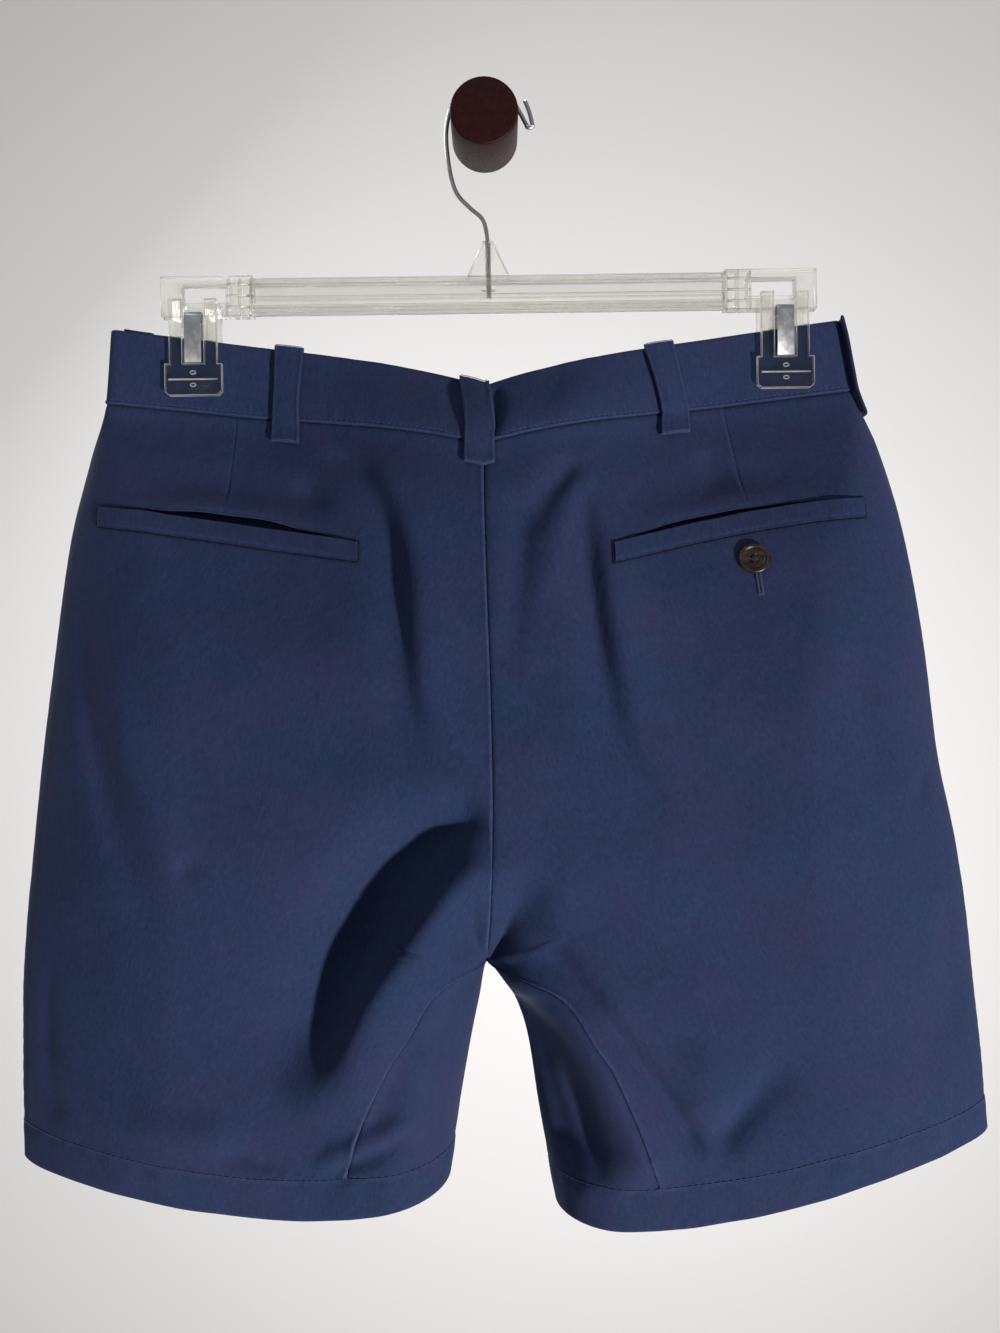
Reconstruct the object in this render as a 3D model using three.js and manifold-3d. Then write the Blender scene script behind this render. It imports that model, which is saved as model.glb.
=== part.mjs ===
// Chino shorts held by a clear clip hanger on a round wall peg.
//
// Millimetres, +Z up. The wall is the plane y = 0 and the peg's back face is centred on the origin.
// The back of the shorts faces -Y, so their left side is at -X. Each cloth piece is a thin closed
// wall made from one shared skin: a point of the skin is found from its side (left or right), its
// place w round that side and its level v from the waist seam (0) to the hem's fold (1).
import * as THREE from "three";
import { mergeVertices } from "three/addons/utils/BufferGeometryUtils.js";
import Module from "manifold-3d";

const wasm = await Module();
wasm.setup();

// Cloth
const SEAM_GAP = 0.3;
const PANEL_WALL = 1.6;
const HEM_WALL = 2.4;
const BAND_WALL = 2.4;
const TRIM_WALL = 1.2;
const TRIM_LIFT = PANEL_WALL / 2 + SEAM_GAP + TRIM_WALL / 2;
const TRIM_SLACK = 0.3;
const COLUMNS = 14;
const BAND_TOP = -0.1;
const HEM_LEVEL = 0.946;
const CROTCH = 0.68;

// Levels shared by both sides. mid_y is the depth of the side fold, depth the half depth of the
// section there, cap the width over which the side rounds off, fold how sharp that fold is (1 is a
// true ellipse), bulge how far the centre back stands out and lean how far the centre front does.
const SECTIONS = [
  { v: -0.1, mid_y: -20, depth: 2.3, cap: 2.6, fold: 1, bulge: 14, lean: 6 },
  { v: 0.0, mid_y: -20, depth: 2.6, cap: 3, fold: 1, bulge: 34, lean: 9 },
  { v: 0.08, mid_y: -25, depth: 11, cap: 18, fold: 1.15, bulge: 31, lean: 2 },
  { v: 0.2, mid_y: -34, depth: 26, cap: 48, fold: 1.3, bulge: 20, lean: 0 },
  { v: 0.34, mid_y: -43, depth: 37, cap: 70, fold: 1.3, bulge: 11, lean: 0 },
  { v: 0.48, mid_y: -48, depth: 42, cap: 80, fold: 1.3, bulge: 5, lean: 0 },
  { v: 0.6, mid_y: -50, depth: 44, cap: 84, fold: 1.3, bulge: 2, lean: 0 },
  { v: 0.68, mid_y: -50, depth: 43, cap: 86, fold: 1.3, bulge: 0, lean: 0 },
  { v: 0.88, mid_y: -50, depth: 41, cap: 88, fold: 1.3, bulge: 0, lean: 0 },
  { v: 1.0, mid_y: -50, depth: 37, cap: 90, fold: 1.3, bulge: 0, lean: 0 },
];

// The seams down the middle, to the crotch point, and how far the back rises beside that point.
const CENTRE = [
  { v: -0.1, x: 0, back_z: -145, front_z: -153 },
  { v: 0.0, x: 0, back_z: -179, front_z: -191 },
  { v: 0.08, x: 0.5, back_z: -209, front_z: -220 },
  { v: 0.2, x: 2, back_z: -255, front_z: -264 },
  { v: 0.34, x: 4, back_z: -308, front_z: -315 },
  { v: 0.48, x: 5, back_z: -361, front_z: -364 },
  { v: 0.6, x: 4, back_z: -406, front_z: -408 },
  { v: 0.68, x: 1.5, back_z: -438, front_z: -438 },
];
const CROTCH_LIFT = [
  { v: 0.48, lift: 0 },
  { v: 0.6, lift: 5 },
  { v: 0.68, lift: 15 },
  { v: 0.78, lift: 10 },
  { v: 0.88, lift: 4 },
  { v: 1.0, lift: 0 },
];

// The outer fold of each side, from the waistband's top edge to the hem.
const OUTER = {
  left: [
    { v: -0.1, x: -199, z: -111 },
    { v: 0.0, x: -202, z: -151 },
    { v: 0.08, x: -208, z: -182 },
    { v: 0.2, x: -216, z: -228 },
    { v: 0.34, x: -220, z: -283 },
    { v: 0.48, x: -225, z: -340 },
    { v: 0.6, x: -229, z: -389 },
    { v: 0.68, x: -232, z: -421 },
    { v: 0.78, x: -234, z: -460 },
    { v: 0.88, x: -234, z: -497 },
    { v: 1.0, x: -233, z: -540 },
  ],
  right: [
    { v: -0.1, x: 189.5, z: -106 },
    { v: 0.0, x: 197, z: -144 },
    { v: 0.08, x: 208, z: -175 },
    { v: 0.2, x: 219, z: -222 },
    { v: 0.34, x: 226, z: -278 },
    { v: 0.48, x: 231, z: -333 },
    { v: 0.6, x: 240, z: -381 },
    { v: 0.68, x: 245, z: -414 },
    { v: 0.78, x: 249, z: -452 },
    { v: 0.88, x: 253, z: -488 },
    { v: 1.0, x: 256, z: -526 },
  ],
};

// The inner fold of each leg, below the crotch point.
const INNER = {
  left: [
    { v: 0.68, x: 1.5, z: -438 },
    { v: 0.7, x: -0.5, z: -445 },
    { v: 0.73, x: -2.5, z: -457 },
    { v: 0.78, x: -6, z: -474 },
    { v: 0.88, x: -12, z: -508 },
    { v: 1.0, x: -18, z: -549 },
  ],
  right: [
    { v: 0.68, x: 1.5, z: -438 },
    { v: 0.7, x: 9, z: -447 },
    { v: 0.73, x: 17, z: -459 },
    { v: 0.78, x: 23, z: -477 },
    { v: 0.88, x: 29, z: -514 },
    { v: 1.0, x: 38, z: -562 },
  ],
};

// Places round a leg: outer cap, flat stretch and inner cap, as shares of the way from the outer
// fold (w = 0) to the inner fold (w = 1 on the back, w = -1 on the front).
const CAP_SHARE = 0.25;
const INNER_CAP_FROM = 0.8;
const INNER_CAP = 35;
const CLOSING_FROM = 0.54;
const HEM_BOW = { left: 12, right: 13 };
const BOW_SKEW = 1.6;

// Where the side seam and the inside leg seam lie, as a place w at each level.
const OUTSEAM = [
  { v: -0.1, w: 0 },
  { v: 0.0, w: 0 },
  { v: 0.34, w: -0.07 },
  { v: 0.68, w: -0.12 },
  { v: 1.0, w: -0.24 },
];
const INSEAM = [
  { v: 0.68, w: 1 },
  { v: 0.7, w: 0.9 },
  { v: 0.73, w: 0.85 },
  { v: 0.78, w: 0.822 },
  { v: 0.82, w: 0.79 },
  { v: 0.88, w: 0.745 },
  { v: 1.0, w: 0.69 },
];
const PANEL_LEVELS = [
  0, 0.04, 0.08, 0.14, 0.2, 0.27, 0.34, 0.41, 0.48, 0.54, 0.59, 0.63, 0.66, CROTCH,
  0.7, 0.73, 0.78, 0.83, 0.88, HEM_LEVEL,
];

// The largest folds of the back: a line through x, z points, the height of its crest (below zero
// for a trough), its half width and the length over which each end fades.
const FOLDS = [
  {
    name: "left leg ridge", height: 9, width: 20, fade: 40,
    line: [[-8, -372], [-33, -412], [-53, -449], [-64, -500]],
  },
  {
    name: "left leg trough", height: -15, width: 19, fade: 45,
    line: [[-22, -372], [-50, -405], [-72, -440], [-84, -508]],
  },
  {
    name: "left seat trough", height: -3.5, width: 12, fade: 45,
    line: [[-52, -200], [-43, -240], [-38, -290], [-28, -345]],
  },
  {
    name: "right seat trough", height: -4, width: 12, fade: 45,
    line: [[52, -215], [56, -270], [68, -340]],
  },
];

// How far from the centre the waist swells between the two clips.
const CLIP_REACH = 138;

// Wide enough for the corner of a front panel beyond its pocket, and the depths through which the
// back panels and the front panels are cut.
const CORNER_REACH = 110;
const BACK_DEPTHS = [-130, -30];
const FRONT_DEPTHS = [-60, 20];

// Belt loops: where each one's middle lies along the waistband, on the back or on the front.
const LOOP_WIDTH = 16;
const LOOP_WALL = 2;
const LOOPS = [
  { name: "belt_loop_centre_back", x: -5, slant: 3, rise: 0.6, layer: "back" },
  { name: "belt_loop_back_left", x: -103, slant: -1, rise: 3, layer: "back" },
  { name: "belt_loop_back_right", x: 92, slant: 8, rise: 3, layer: "back" },
  { name: "belt_loop_side_left", x: -187, slant: -1, rise: 3, layer: "front" },
  { name: "belt_loop_front_left", x: -100, slant: 0, rise: 2, layer: "front" },
  { name: "belt_loop_front_right", x: 98, slant: 0, rise: 2, layer: "front" },
];
const FOLD_LOOP = { rise: 3, stand: 1.6, lean: 2.5 };

// Rows of a loop: its level, the share of its rise past the band's top edge, and how far it stands
// off the cloth.
const LOOP_ROWS = [
  { v: BAND_TOP, share: 1, stand: 0 },
  { v: BAND_TOP, share: 0, stand: 0.2 },
  { v: -0.065, share: 0, stand: 0.9 },
  { v: -0.03, share: 0, stand: 0.9 },
  { v: 0, share: 0, stand: 0.4 },
  { v: 0.03, share: 0, stand: 0 },
];

// Back pockets: the welt's top edge from its outer to its inner end, how far its middle bows up,
// and the height of the gaping slit above it, widest at a share along from the outer end.
const WELT_HEIGHT = 10.5;
const POCKETS = {
  left: { outer: [-197, -209.5], inner: [-62, -229.5], bow: 0, gape: 8, widest: 0.55 },
  right: { outer: [194, -205], inner: [64, -230.5], bow: 3, gape: 6, widest: 0.72 },
};
const SLIT = { from: 0.05, to: 0.96, overlap: 0.2 };
const FACING = { from: 0.02, to: 0.98, above: 13, below: 9 };
const BUTTON = { x: 134, z: -238, radius: 8, thickness: 2.6, hole: 0.9, hole_off: 1.7 };

// Front: the fly, the zip behind it, the slanted pockets and the waistband's button.
const FLY = { centre: -1.2, width: 36, straight: 0.35, top: -197, low: -318, corner: -290 };
const ZIP = { width: 11, low: -306 };
const FRONT_POCKET = { top_x: 160, low_v: 0.36 };
const WAIST_BUTTON = { x: -10, radius: 8.5, thickness: 2.8, hole: 0.9, hole_off: 1.9 };

// The hanger hangs in the plane y = -20, a little higher at the right.
const HANGER_Y = -20;
const HANGER_TILT = 0.75;
const STEM = { x: 2.2, low_z: -93.5, wire: 1.2, bore: 1.55, bore_length: 60 };
const BAR = { half: 128, top: -82.6, low: -100.8, web: 2.4, flange: 7, rib: 2.8 };
const GUSSET = { half: 11.5, neck: 2.6, top: -64, thick: 5.6 };
const FRAME_END = { from: 126, to: 175, top: -81, low: -102, thick: 7 };
const WINDOW = { from: 138, to: 164, top: -85.5, low: -95.5 };
const CLIP = { x: 157.3, pad: 30, top: -128.5, low: -145, bevel: 2, arm: 6.6, arms: 25, wall: 3, lap: 8 };
const JAW_FACES = { back: -24.3, front: -15.6 };
const SPRING = { width: 9, wall: 0.8, top: -103.6, low: -131, bend: 3 };
const HOOK_RADIUS = 19.6;
const HOOK_TIP = { x: 24.2, z: -0.6, turn: 1.6 };
const PEG = { radius: 18, length: 36, chamfer: 0.8 };
const COLOURS = {
  cloth: { color: 0x2f3c66, roughness: 0.9, metalness: 0 },
  facing: { color: 0x1c2644, roughness: 0.95, metalness: 0 },
  button: { color: 0x3a2a24, roughness: 0.4, metalness: 0 },
  zip: { color: 0x8c7a52, roughness: 0.4, metalness: 0.8 },
  clear: { color: 0xe9e6dc, roughness: 0.08, metalness: 0, transparent: true, opacity: 0.4 },
  steel: { color: 0xb9bcc0, roughness: 0.25, metalness: 1 },
  peg: { color: 0x2a1011, roughness: 0.35, metalness: 0 },
};

const group = new THREE.Group();

function addPart(name, geometry, look) {
  const mesh = new THREE.Mesh(geometry, new THREE.MeshStandardMaterial(COLOURS[look]));
  mesh.name = name;
  group.add(mesh);
}

const clamp01 = (value) => Math.min(1, Math.max(0, value));
const smooth = (from, to, value) => {
  const q = clamp01((value - from) / (to - from));
  return q * q * (3 - 2 * q);
};

// Value of one named column at level v, through a monotone cubic.
function read(table, column, v) {
  const last = table.length - 1;
  if (v <= table[0].v) return table[0][column];
  if (v >= table[last].v) return table[last][column];
  const i = table.findIndex((row) => row.v > v) - 1;
  const slope = (k) => (table[k + 1][column] - table[k][column]) / (table[k + 1].v - table[k].v);
  const tangent = (k) => {
    if (k === 0) return slope(0);
    if (k === last) return slope(last - 1);
    const before = slope(k - 1);
    const after = slope(k);
    return before * after <= 0 ? 0 : (2 * before * after) / (before + after);
  };
  const step = table[i + 1].v - table[i].v;
  const t = (v - table[i].v) / step;
  const start = table[i][column];
  const end = table[i + 1][column];
  return (
    start * (1 + 2 * t) * (1 - t) ** 2 +
    tangent(i) * step * t * (1 - t) ** 2 +
    end * t * t * (3 - 2 * t) +
    tangent(i + 1) * step * t * t * (t - 1)
  );
}

// Half of a section: how far in from the outer fold, and how deep, at a share w of the way round.
function halfSection(w, span, section, innerCap) {
  const { depth, cap, fold } = section;
  const flatTo = innerCap > 0 ? INNER_CAP_FROM : 1;
  if (w < CAP_SHARE) {
    const turn = (w / CAP_SHARE) * (Math.PI / 2);
    return { along: cap * (1 - Math.cos(turn) ** fold), deep: depth * Math.sin(turn) ** fold };
  }
  if (w <= flatTo) {
    const share = (w - CAP_SHARE) / (flatTo - CAP_SHARE);
    return { along: cap + share * (span - cap - innerCap), deep: depth };
  }
  const turn = ((w - flatTo) / (1 - flatTo)) * (Math.PI / 2);
  return { along: span - innerCap + innerCap * Math.sin(turn), deep: depth * Math.cos(turn) };
}

// Distance of x, z from a fold's line, and how far along that line the nearest point is.
function foldDistance(line, x, z) {
  let best = { gap: Infinity, along: 0 };
  let run = 0;
  for (let k = 0; k + 1 < line.length; k += 1) {
    const [ax, az] = line[k];
    const dx = line[k + 1][0] - ax;
    const dz = line[k + 1][1] - az;
    const length = Math.hypot(dx, dz);
    const t = clamp01(((x - ax) * dx + (z - az) * dz) / (length * length));
    const gap = Math.hypot(x - ax - t * dx, z - az - t * dz);
    if (gap < best.gap) best = { gap, along: run + t * length };
    run += length;
  }
  return { ...best, length: run };
}

function foldHeight(x, z) {
  let height = 0;
  for (const fold of FOLDS) {
    const near = foldDistance(fold.line, x, z);
    const ends = smooth(0, fold.fade, near.along) * smooth(0, fold.fade, near.length - near.along);
    height += fold.height * ends * Math.exp(-((near.gap / fold.width) ** 2));
  }
  return height;
}

// How much a section just above the crotch has closed towards the two legs: square under at the
// centre seam, and softly beside it.
function closing(v, share) {
  const q = clamp01((v - CLOSING_FROM) / (CROTCH - CLOSING_FROM));
  const under = 1 - Math.sqrt(1 - q * q);
  const beside = q * q * (3 - 2 * q);
  const centred = smooth(INNER_CAP_FROM, 1, share);
  return beside + (under - beside) * centred;
}

// The share of the drop from the side to the centre that is reached at a share f across.
const levelDrop = (f) => 0.7 * f + 0.3 * f ** 3.5;

// A point of the skin. w runs from the outer fold (0) over the back to the centre (1), or over the
// front to the centre (-1); below -1 it goes on round the inner fold of a leg to the back.
function skin(side, w, v) {
  const place = w < -1 ? w + 2 : w;
  const back = place >= 0;
  const share = Math.abs(place);
  const isLeg = v > CROTCH;
  const outerX = read(OUTER[side], "x", v);
  const outerZ = read(OUTER[side], "z", v);
  const innerX = isLeg ? read(INNER[side], "x", v) : read(CENTRE, "x", v);
  const innerZ = isLeg ? read(INNER[side], "z", v) : read(CENTRE, back ? "back_z" : "front_z", v);
  const section = {
    depth: read(SECTIONS, "depth", v),
    cap: read(SECTIONS, "cap", v),
    fold: read(SECTIONS, "fold", v),
  };
  const span = Math.abs(innerX - outerX);
  const legShare = isLeg ? 1 : closing(v, share);
  const torso = halfSection(share, span, section, 0);
  const leg = halfSection(share, span, section, INNER_CAP);
  const along = torso.along + (leg.along - torso.along) * legShare;
  const deep = torso.deep + (leg.deep - torso.deep) * legShare;
  const f = clamp01(along / span);
  const lift = read(CROTCH_LIFT, "lift", v) * (1 - smooth(0.72, 1, share));
  const bow = HEM_BOW[side] * smooth(CROTCH, 1, v) * Math.sin(Math.PI * f ** BOW_SKEW);
  const x = outerX + (side === "left" ? along : -along);
  const z = outerZ + (innerZ + lift - outerZ) * levelDrop(f) - bow;
  const swell = Math.cos((clamp01(Math.abs(x - innerX) / CLIP_REACH) * Math.PI) / 2) ** 2;
  const midY = read(SECTIONS, "mid_y", v);
  if (!back) return new THREE.Vector3(x, midY + deep + read(SECTIONS, "lean", v) * swell, z);
  const stand = read(SECTIONS, "bulge", v) * swell * (1 - legShare);
  const creases = foldHeight(x, z) * smooth(0, CAP_SHARE, share) * (1 - smooth(0.8, 1, share) * legShare);
  return new THREE.Vector3(x, midY - deep - stand - creases, z);
}

const STEP_W = 0.004;
const STEP_V = 0.004;

// The outward normal of the skin.
function normalAt(side, w, v) {
  const lowV = Math.max(BAND_TOP, v - STEP_V);
  const highV = Math.min(1, v + STEP_V);
  const lowerV = v > CROTCH ? Math.max(lowV, CROTCH + 1e-6) : lowV;
  const upperV = v <= CROTCH ? Math.min(highV, CROTCH) : highV;
  const atCentre = v <= CROTCH;
  const lowW = atCentre ? Math.max(-1, w - STEP_W) : w - STEP_W;
  const highW = atCentre ? Math.min(1, w + STEP_W) : w + STEP_W;
  const wrap = (value) => (value > 1 ? value - 2 : value);
  const acrossW = skin(side, wrap(highW), v).sub(skin(side, wrap(lowW), v));
  const alongV = skin(side, w, upperV).sub(skin(side, w, lowerV));
  const normal = acrossW.cross(alongV).normalize();
  return side === "left" ? normal.negate() : normal;
}

// The normal that both pieces at a centre seam share.
function seamNormal(w, v) {
  if (v === CROTCH) return new THREE.Vector3(0, 0, -1);
  return normalAt("left", w, v).add(normalAt("right", w, v)).normalize();
}

function pieceNormal(side, w, v) {
  const onCentreSeam = v <= CROTCH && Math.abs(w) === 1;
  return onCentreSeam ? seamNormal(w, v) : normalAt(side, w, v);
}

// The part of a step towards the inside of a piece that is square to the edge and to the normal.
function inwards(point, inside, before, after, normal) {
  const edge = after.clone().sub(before).normalize();
  const step = inside.clone().sub(point);
  step.addScaledVector(normal, -step.dot(normal));
  edge.addScaledVector(normal, -edge.dot(normal)).normalize();
  step.addScaledVector(edge, -step.dot(edge));
  return step.normalize();
}

// Pulls the edges of a grid in by half a seam gap. A grid that is closed round has no side edges.
function pullIn(points, normals, closedRound) {
  const rows = points.length;
  const columns = points[0].length;
  const moved = points.map((row) => row.map((point) => point.clone()));
  const at = (i, j) => points[Math.min(rows - 1, Math.max(0, i))][Math.min(columns - 1, Math.max(0, j))];
  const round = (i, j) => points[i][(j + columns) % columns];
  for (let i = 0; i < rows; i += 1) {
    for (let j = 0; j < columns; j += 1) {
      const here = points[i][j];
      const normal = normals[i][j];
      if (i === 0 || i === rows - 1) {
        const inside = points[i === 0 ? 1 : rows - 2][j];
        const before = closedRound ? round(i, j - 1) : at(i, j - 1);
        const after = closedRound ? round(i, j + 1) : at(i, j + 1);
        moved[i][j].addScaledVector(inwards(here, inside, before, after, normal), SEAM_GAP / 2);
      }
      if (!closedRound && (j === 0 || j === columns - 1)) {
        const inside = points[i][j === 0 ? 1 : columns - 2];
        moved[i][j].addScaledVector(inwards(here, inside, at(i - 1, j), at(i + 1, j), normal), SEAM_GAP / 2);
      }
    }
  }
  return moved;
}

function closedGeometry(vertices, triangles) {
  const geometry = new THREE.BufferGeometry();
  geometry.setAttribute("position", new THREE.Float32BufferAttribute(vertices, 3));
  geometry.setIndex(triangles);
  let volume = 0;
  const corner = (index) => new THREE.Vector3().fromArray(vertices, index * 3);
  for (let k = 0; k < triangles.length; k += 3) {
    volume += corner(triangles[k]).dot(corner(triangles[k + 1]).cross(corner(triangles[k + 2])));
  }
  if (volume < 0) {
    const flipped = [];
    for (let k = 0; k < triangles.length; k += 3) {
      flipped.push(triangles[k], triangles[k + 2], triangles[k + 1]);
    }
    geometry.setIndex(flipped);
  }
  return geometry;
}

// A closed wall on a grid of middle points, half its thickness to each side.
function wall(points, normals, thickness, closedRound = false) {
  const rows = points.length;
  const columns = points[0].length;
  const vertices = [];
  for (const way of [1, -1]) {
    for (let i = 0; i < rows; i += 1) {
      for (let j = 0; j < columns; j += 1) {
        const out = points[i][j].clone().addScaledVector(normals[i][j], (way * thickness) / 2);
        vertices.push(out.x, out.y, out.z);
      }
    }
  }
  const layer = rows * columns;
  const at = (side, i, j) => side * layer + i * columns + (j % columns);
  const triangles = [];
  const quad = (a, b, c, d) => triangles.push(a, b, c, a, c, d);
  const spans = closedRound ? columns : columns - 1;
  for (let i = 0; i < rows - 1; i += 1) {
    for (let j = 0; j < spans; j += 1) {
      quad(at(0, i, j), at(0, i + 1, j), at(0, i + 1, j + 1), at(0, i, j + 1));
      quad(at(1, i, j), at(1, i, j + 1), at(1, i + 1, j + 1), at(1, i + 1, j));
    }
  }
  for (let j = 0; j < spans; j += 1) {
    quad(at(0, 0, j), at(0, 0, j + 1), at(1, 0, j + 1), at(1, 0, j));
    quad(at(0, rows - 1, j), at(1, rows - 1, j), at(1, rows - 1, j + 1), at(0, rows - 1, j + 1));
  }
  if (!closedRound) {
    for (let i = 0; i < rows - 1; i += 1) {
      quad(at(0, i, 0), at(1, i, 0), at(1, i + 1, 0), at(0, i + 1, 0));
      quad(at(0, i, spans), at(0, i + 1, spans), at(1, i + 1, spans), at(1, i, spans));
    }
  }
  return closedGeometry(vertices, triangles);
}

function toSolid(geometry) {
  const bare = new THREE.BufferGeometry();
  bare.setAttribute("position", geometry.attributes.position.clone());
  bare.setIndex(geometry.index ? geometry.index.clone() : null);
  const merged = mergeVertices(bare, 1e-4);
  const vertProperties = new Float32Array(merged.attributes.position.array);
  const triVerts = new Uint32Array(merged.index.array);
  return new wasm.Manifold(new wasm.Mesh({ numProp: 3, vertProperties, triVerts }));
}

function fromSolid(solid) {
  const mesh = solid.getMesh();
  const geometry = new THREE.BufferGeometry();
  geometry.setAttribute("position", new THREE.BufferAttribute(new Float32Array(mesh.vertProperties), 3));
  geometry.setIndex(new THREE.BufferAttribute(new Uint32Array(mesh.triVerts), 1));
  return geometry;
}

const joined = (pieces) => fromSolid(pieces.map(toSolid).reduce((all, next) => all.add(next)));
const shared = (piece, tool) => fromSolid(toSolid(piece).intersect(toSolid(tool)));
const cut = (piece, tools) => {
  const solids = tools.map(toSolid);
  return fromSolid(solids.reduce((rest, tool) => rest.subtract(tool), toSolid(piece)));
};

// Panels

function evenly(from, to, count) {
  return Array.from({ length: count + 1 }, (_, k) => (from * (count - k) + to * k) / count);
}

function backPlaces(v) {
  const inner = v <= CROTCH ? 1 : read(INSEAM, "w", v);
  return evenly(read(OUTSEAM, "w", v), inner, COLUMNS);
}

function frontPlaces(v) {
  const inner = v <= CROTCH ? -1 : read(INSEAM, "w", v) - 2;
  return evenly(read(OUTSEAM, "w", v), inner, COLUMNS);
}

function panel(side, places) {
  const points = PANEL_LEVELS.map((v) => places(v).map((w) => skin(side, w, v)));
  const normals = PANEL_LEVELS.map((v) => places(v).map((w) => pieceNormal(side, w, v)));
  const moved = pullIn(points, normals, false);
  const corner = PANEL_LEVELS.indexOf(CROTCH);
  const outward = side === "left" ? -1 : 1;
  const away = places(0)[1] > 0 ? -1 : 1;
  moved[corner][COLUMNS] = points[corner][COLUMNS].clone();
  moved[corner][COLUMNS].x += (outward * SEAM_GAP) / 2;
  moved[corner][COLUMNS].y += (away * SEAM_GAP) / 2;
  return wall(moved, normals, PANEL_WALL);
}

// Bands and hems

function band(side) {
  const places = [...backPlaces(0).reverse(), ...frontPlaces(0).slice(1)];
  const levels = evenly(BAND_TOP, 0, 2);
  const points = levels.map((v) => places.map((w) => skin(side, w, v)));
  const normals = levels.map((v) => places.map((w) => pieceNormal(side, w, v)));
  return wall(pullIn(points, normals, false), normals, BAND_WALL);
}

function hem(side) {
  const backWays = backPlaces(HEM_LEVEL);
  const frontWays = frontPlaces(HEM_LEVEL).reverse();
  const places = [...backWays, ...frontWays.slice(1, -1)];
  const levels = evenly(HEM_LEVEL, 1, 2);
  const points = levels.map((v) => places.map((w) => skin(side, w, v)));
  const normals = levels.map((v) => places.map((w) => normalAt(side, w, v)));
  return wall(pullIn(points, normals, true), normals, HEM_WALL, true);
}

// Pieces that lie on a panel

// The point of a panel's faceted middle surface at a place and level.
function panelPoint(side, w, v) {
  const places = w >= 0 ? backPlaces : frontPlaces;
  const i = PANEL_LEVELS.findIndex((level) => level > v) - 1;
  const outer = places(v)[0];
  const inner = places(v)[COLUMNS];
  const across = ((w - outer) / (inner - outer)) * COLUMNS;
  const j = Math.min(COLUMNS - 1, Math.max(0, Math.floor(across)));
  const down = (v - PANEL_LEVELS[i]) / (PANEL_LEVELS[i + 1] - PANEL_LEVELS[i]);
  const corner = (row, column) => skin(side, places(PANEL_LEVELS[row])[column], PANEL_LEVELS[row]);
  const upper = corner(i, j).lerp(corner(i, j + 1), across - j);
  const lower = corner(i + 1, j).lerp(corner(i + 1, j + 1), across - j);
  return upper.lerp(lower, down);
}

// The place and level on the skin that has the wanted x and z, on the back or the front.
function locate(side, x, z, layer = "back") {
  const sign = layer === "back" ? 1 : -1;
  let w = 0.5;
  let v = 0.3;
  for (let k = 0; k < 40; k += 1) {
    const here = skin(side, sign * w, v);
    const byW = skin(side, sign * (w + STEP_W), v).sub(here).divideScalar(STEP_W);
    const byV = skin(side, sign * w, v + STEP_V).sub(here).divideScalar(STEP_V);
    const scale = byW.x * byV.z - byV.x * byW.z;
    const gapX = x - here.x;
    const gapZ = z - here.z;
    w = Math.min(0.995, Math.max(0.005, w + (gapX * byV.z - byV.x * gapZ) / scale));
    v = Math.min(0.99, Math.max(BAND_TOP, v + (byW.x * gapZ - gapX * byW.z) / scale));
  }
  return { w: sign * w, v };
}

// A patch set out by a function of its shares across and down, which gives side, x and z.
function laidOn(layout, options) {
  const { across, down, thickness, lift, layer = "back" } = options;
  const points = [];
  const normals = [];
  for (const t of evenly(0, 1, down)) {
    const row = evenly(0, 1, across).map((s) => {
      const spot = layout(s, t);
      const at = locate(spot.side, spot.x, spot.z, layer);
      const normal = normalAt(spot.side, at.w, at.v);
      return { point: panelPoint(spot.side, at.w, at.v).addScaledVector(normal, lift), normal };
    });
    points.push(row.map((entry) => entry.point));
    normals.push(row.map((entry) => entry.normal));
  }
  return wall(points, normals, thickness);
}

// A prism with an x, z outline and a range of depth.
function prism(outline, fromY, toY) {
  const shape = new THREE.Shape(outline.map(([x, z]) => new THREE.Vector2(x, z)));
  const geometry = new THREE.ExtrudeGeometry(shape, { depth: Math.abs(toY - fromY), bevelEnabled: false });
  geometry.rotateX(Math.PI / 2);
  geometry.translate(0, Math.max(fromY, toY), 0);
  return geometry;
}

// The welt's top edge at a share along it, and the height of the slit above that place.
function weltTop(pocket, s) {
  const x = THREE.MathUtils.lerp(pocket.outer[0], pocket.inner[0], s);
  const z = THREE.MathUtils.lerp(pocket.outer[1], pocket.inner[1], s) + pocket.bow * Math.sin(Math.PI * s);
  return { x, z };
}

function slitHeight(pocket, s) {
  const q = s < pocket.widest ? s / pocket.widest : (1 - s) / (1 - pocket.widest);
  return pocket.gape * Math.sin((q * Math.PI) / 2) ** 1.5;
}

function slitOutline(pocket) {
  const shares = evenly(0, 1, 12);
  const edges = shares.map((s) => weltTop(pocket, THREE.MathUtils.lerp(SLIT.from, SLIT.to, s)));
  const low = edges.map(({ x, z }) => [x, z - SLIT.overlap]);
  const high = edges.map(({ x, z }, k) => [x, z + SLIT.overlap + slitHeight(pocket, shares[k])]);
  return [...low, ...high.reverse()];
}

// The slanted line of a front pocket, from the waist seam to the side seam, in x and z.
function slantEnds(side) {
  const way = side === "left" ? -1 : 1;
  const top = skin(side, placeAt(side, FRONT_POCKET.top_x * way, 0, "front"), 0);
  const low = skin(side, read(OUTSEAM, "w", FRONT_POCKET.low_v), FRONT_POCKET.low_v);
  return { way, top, low };
}

// The corner of a front panel outside that line, begun a gap further out.
function cornerOutline(side, gap) {
  const { way, top, low } = slantEnds(side);
  const past = (share) => [
    THREE.MathUtils.lerp(top.x, low.x, share) + way * gap,
    THREE.MathUtils.lerp(top.z, low.z, share),
  ];
  const [topX, topZ] = past(-0.2);
  const [lowX, lowZ] = past(1.2);
  return [[topX, topZ], [lowX, lowZ], [topX + way * CORNER_REACH, lowZ], [topX + way * CORNER_REACH, topZ]];
}

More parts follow.
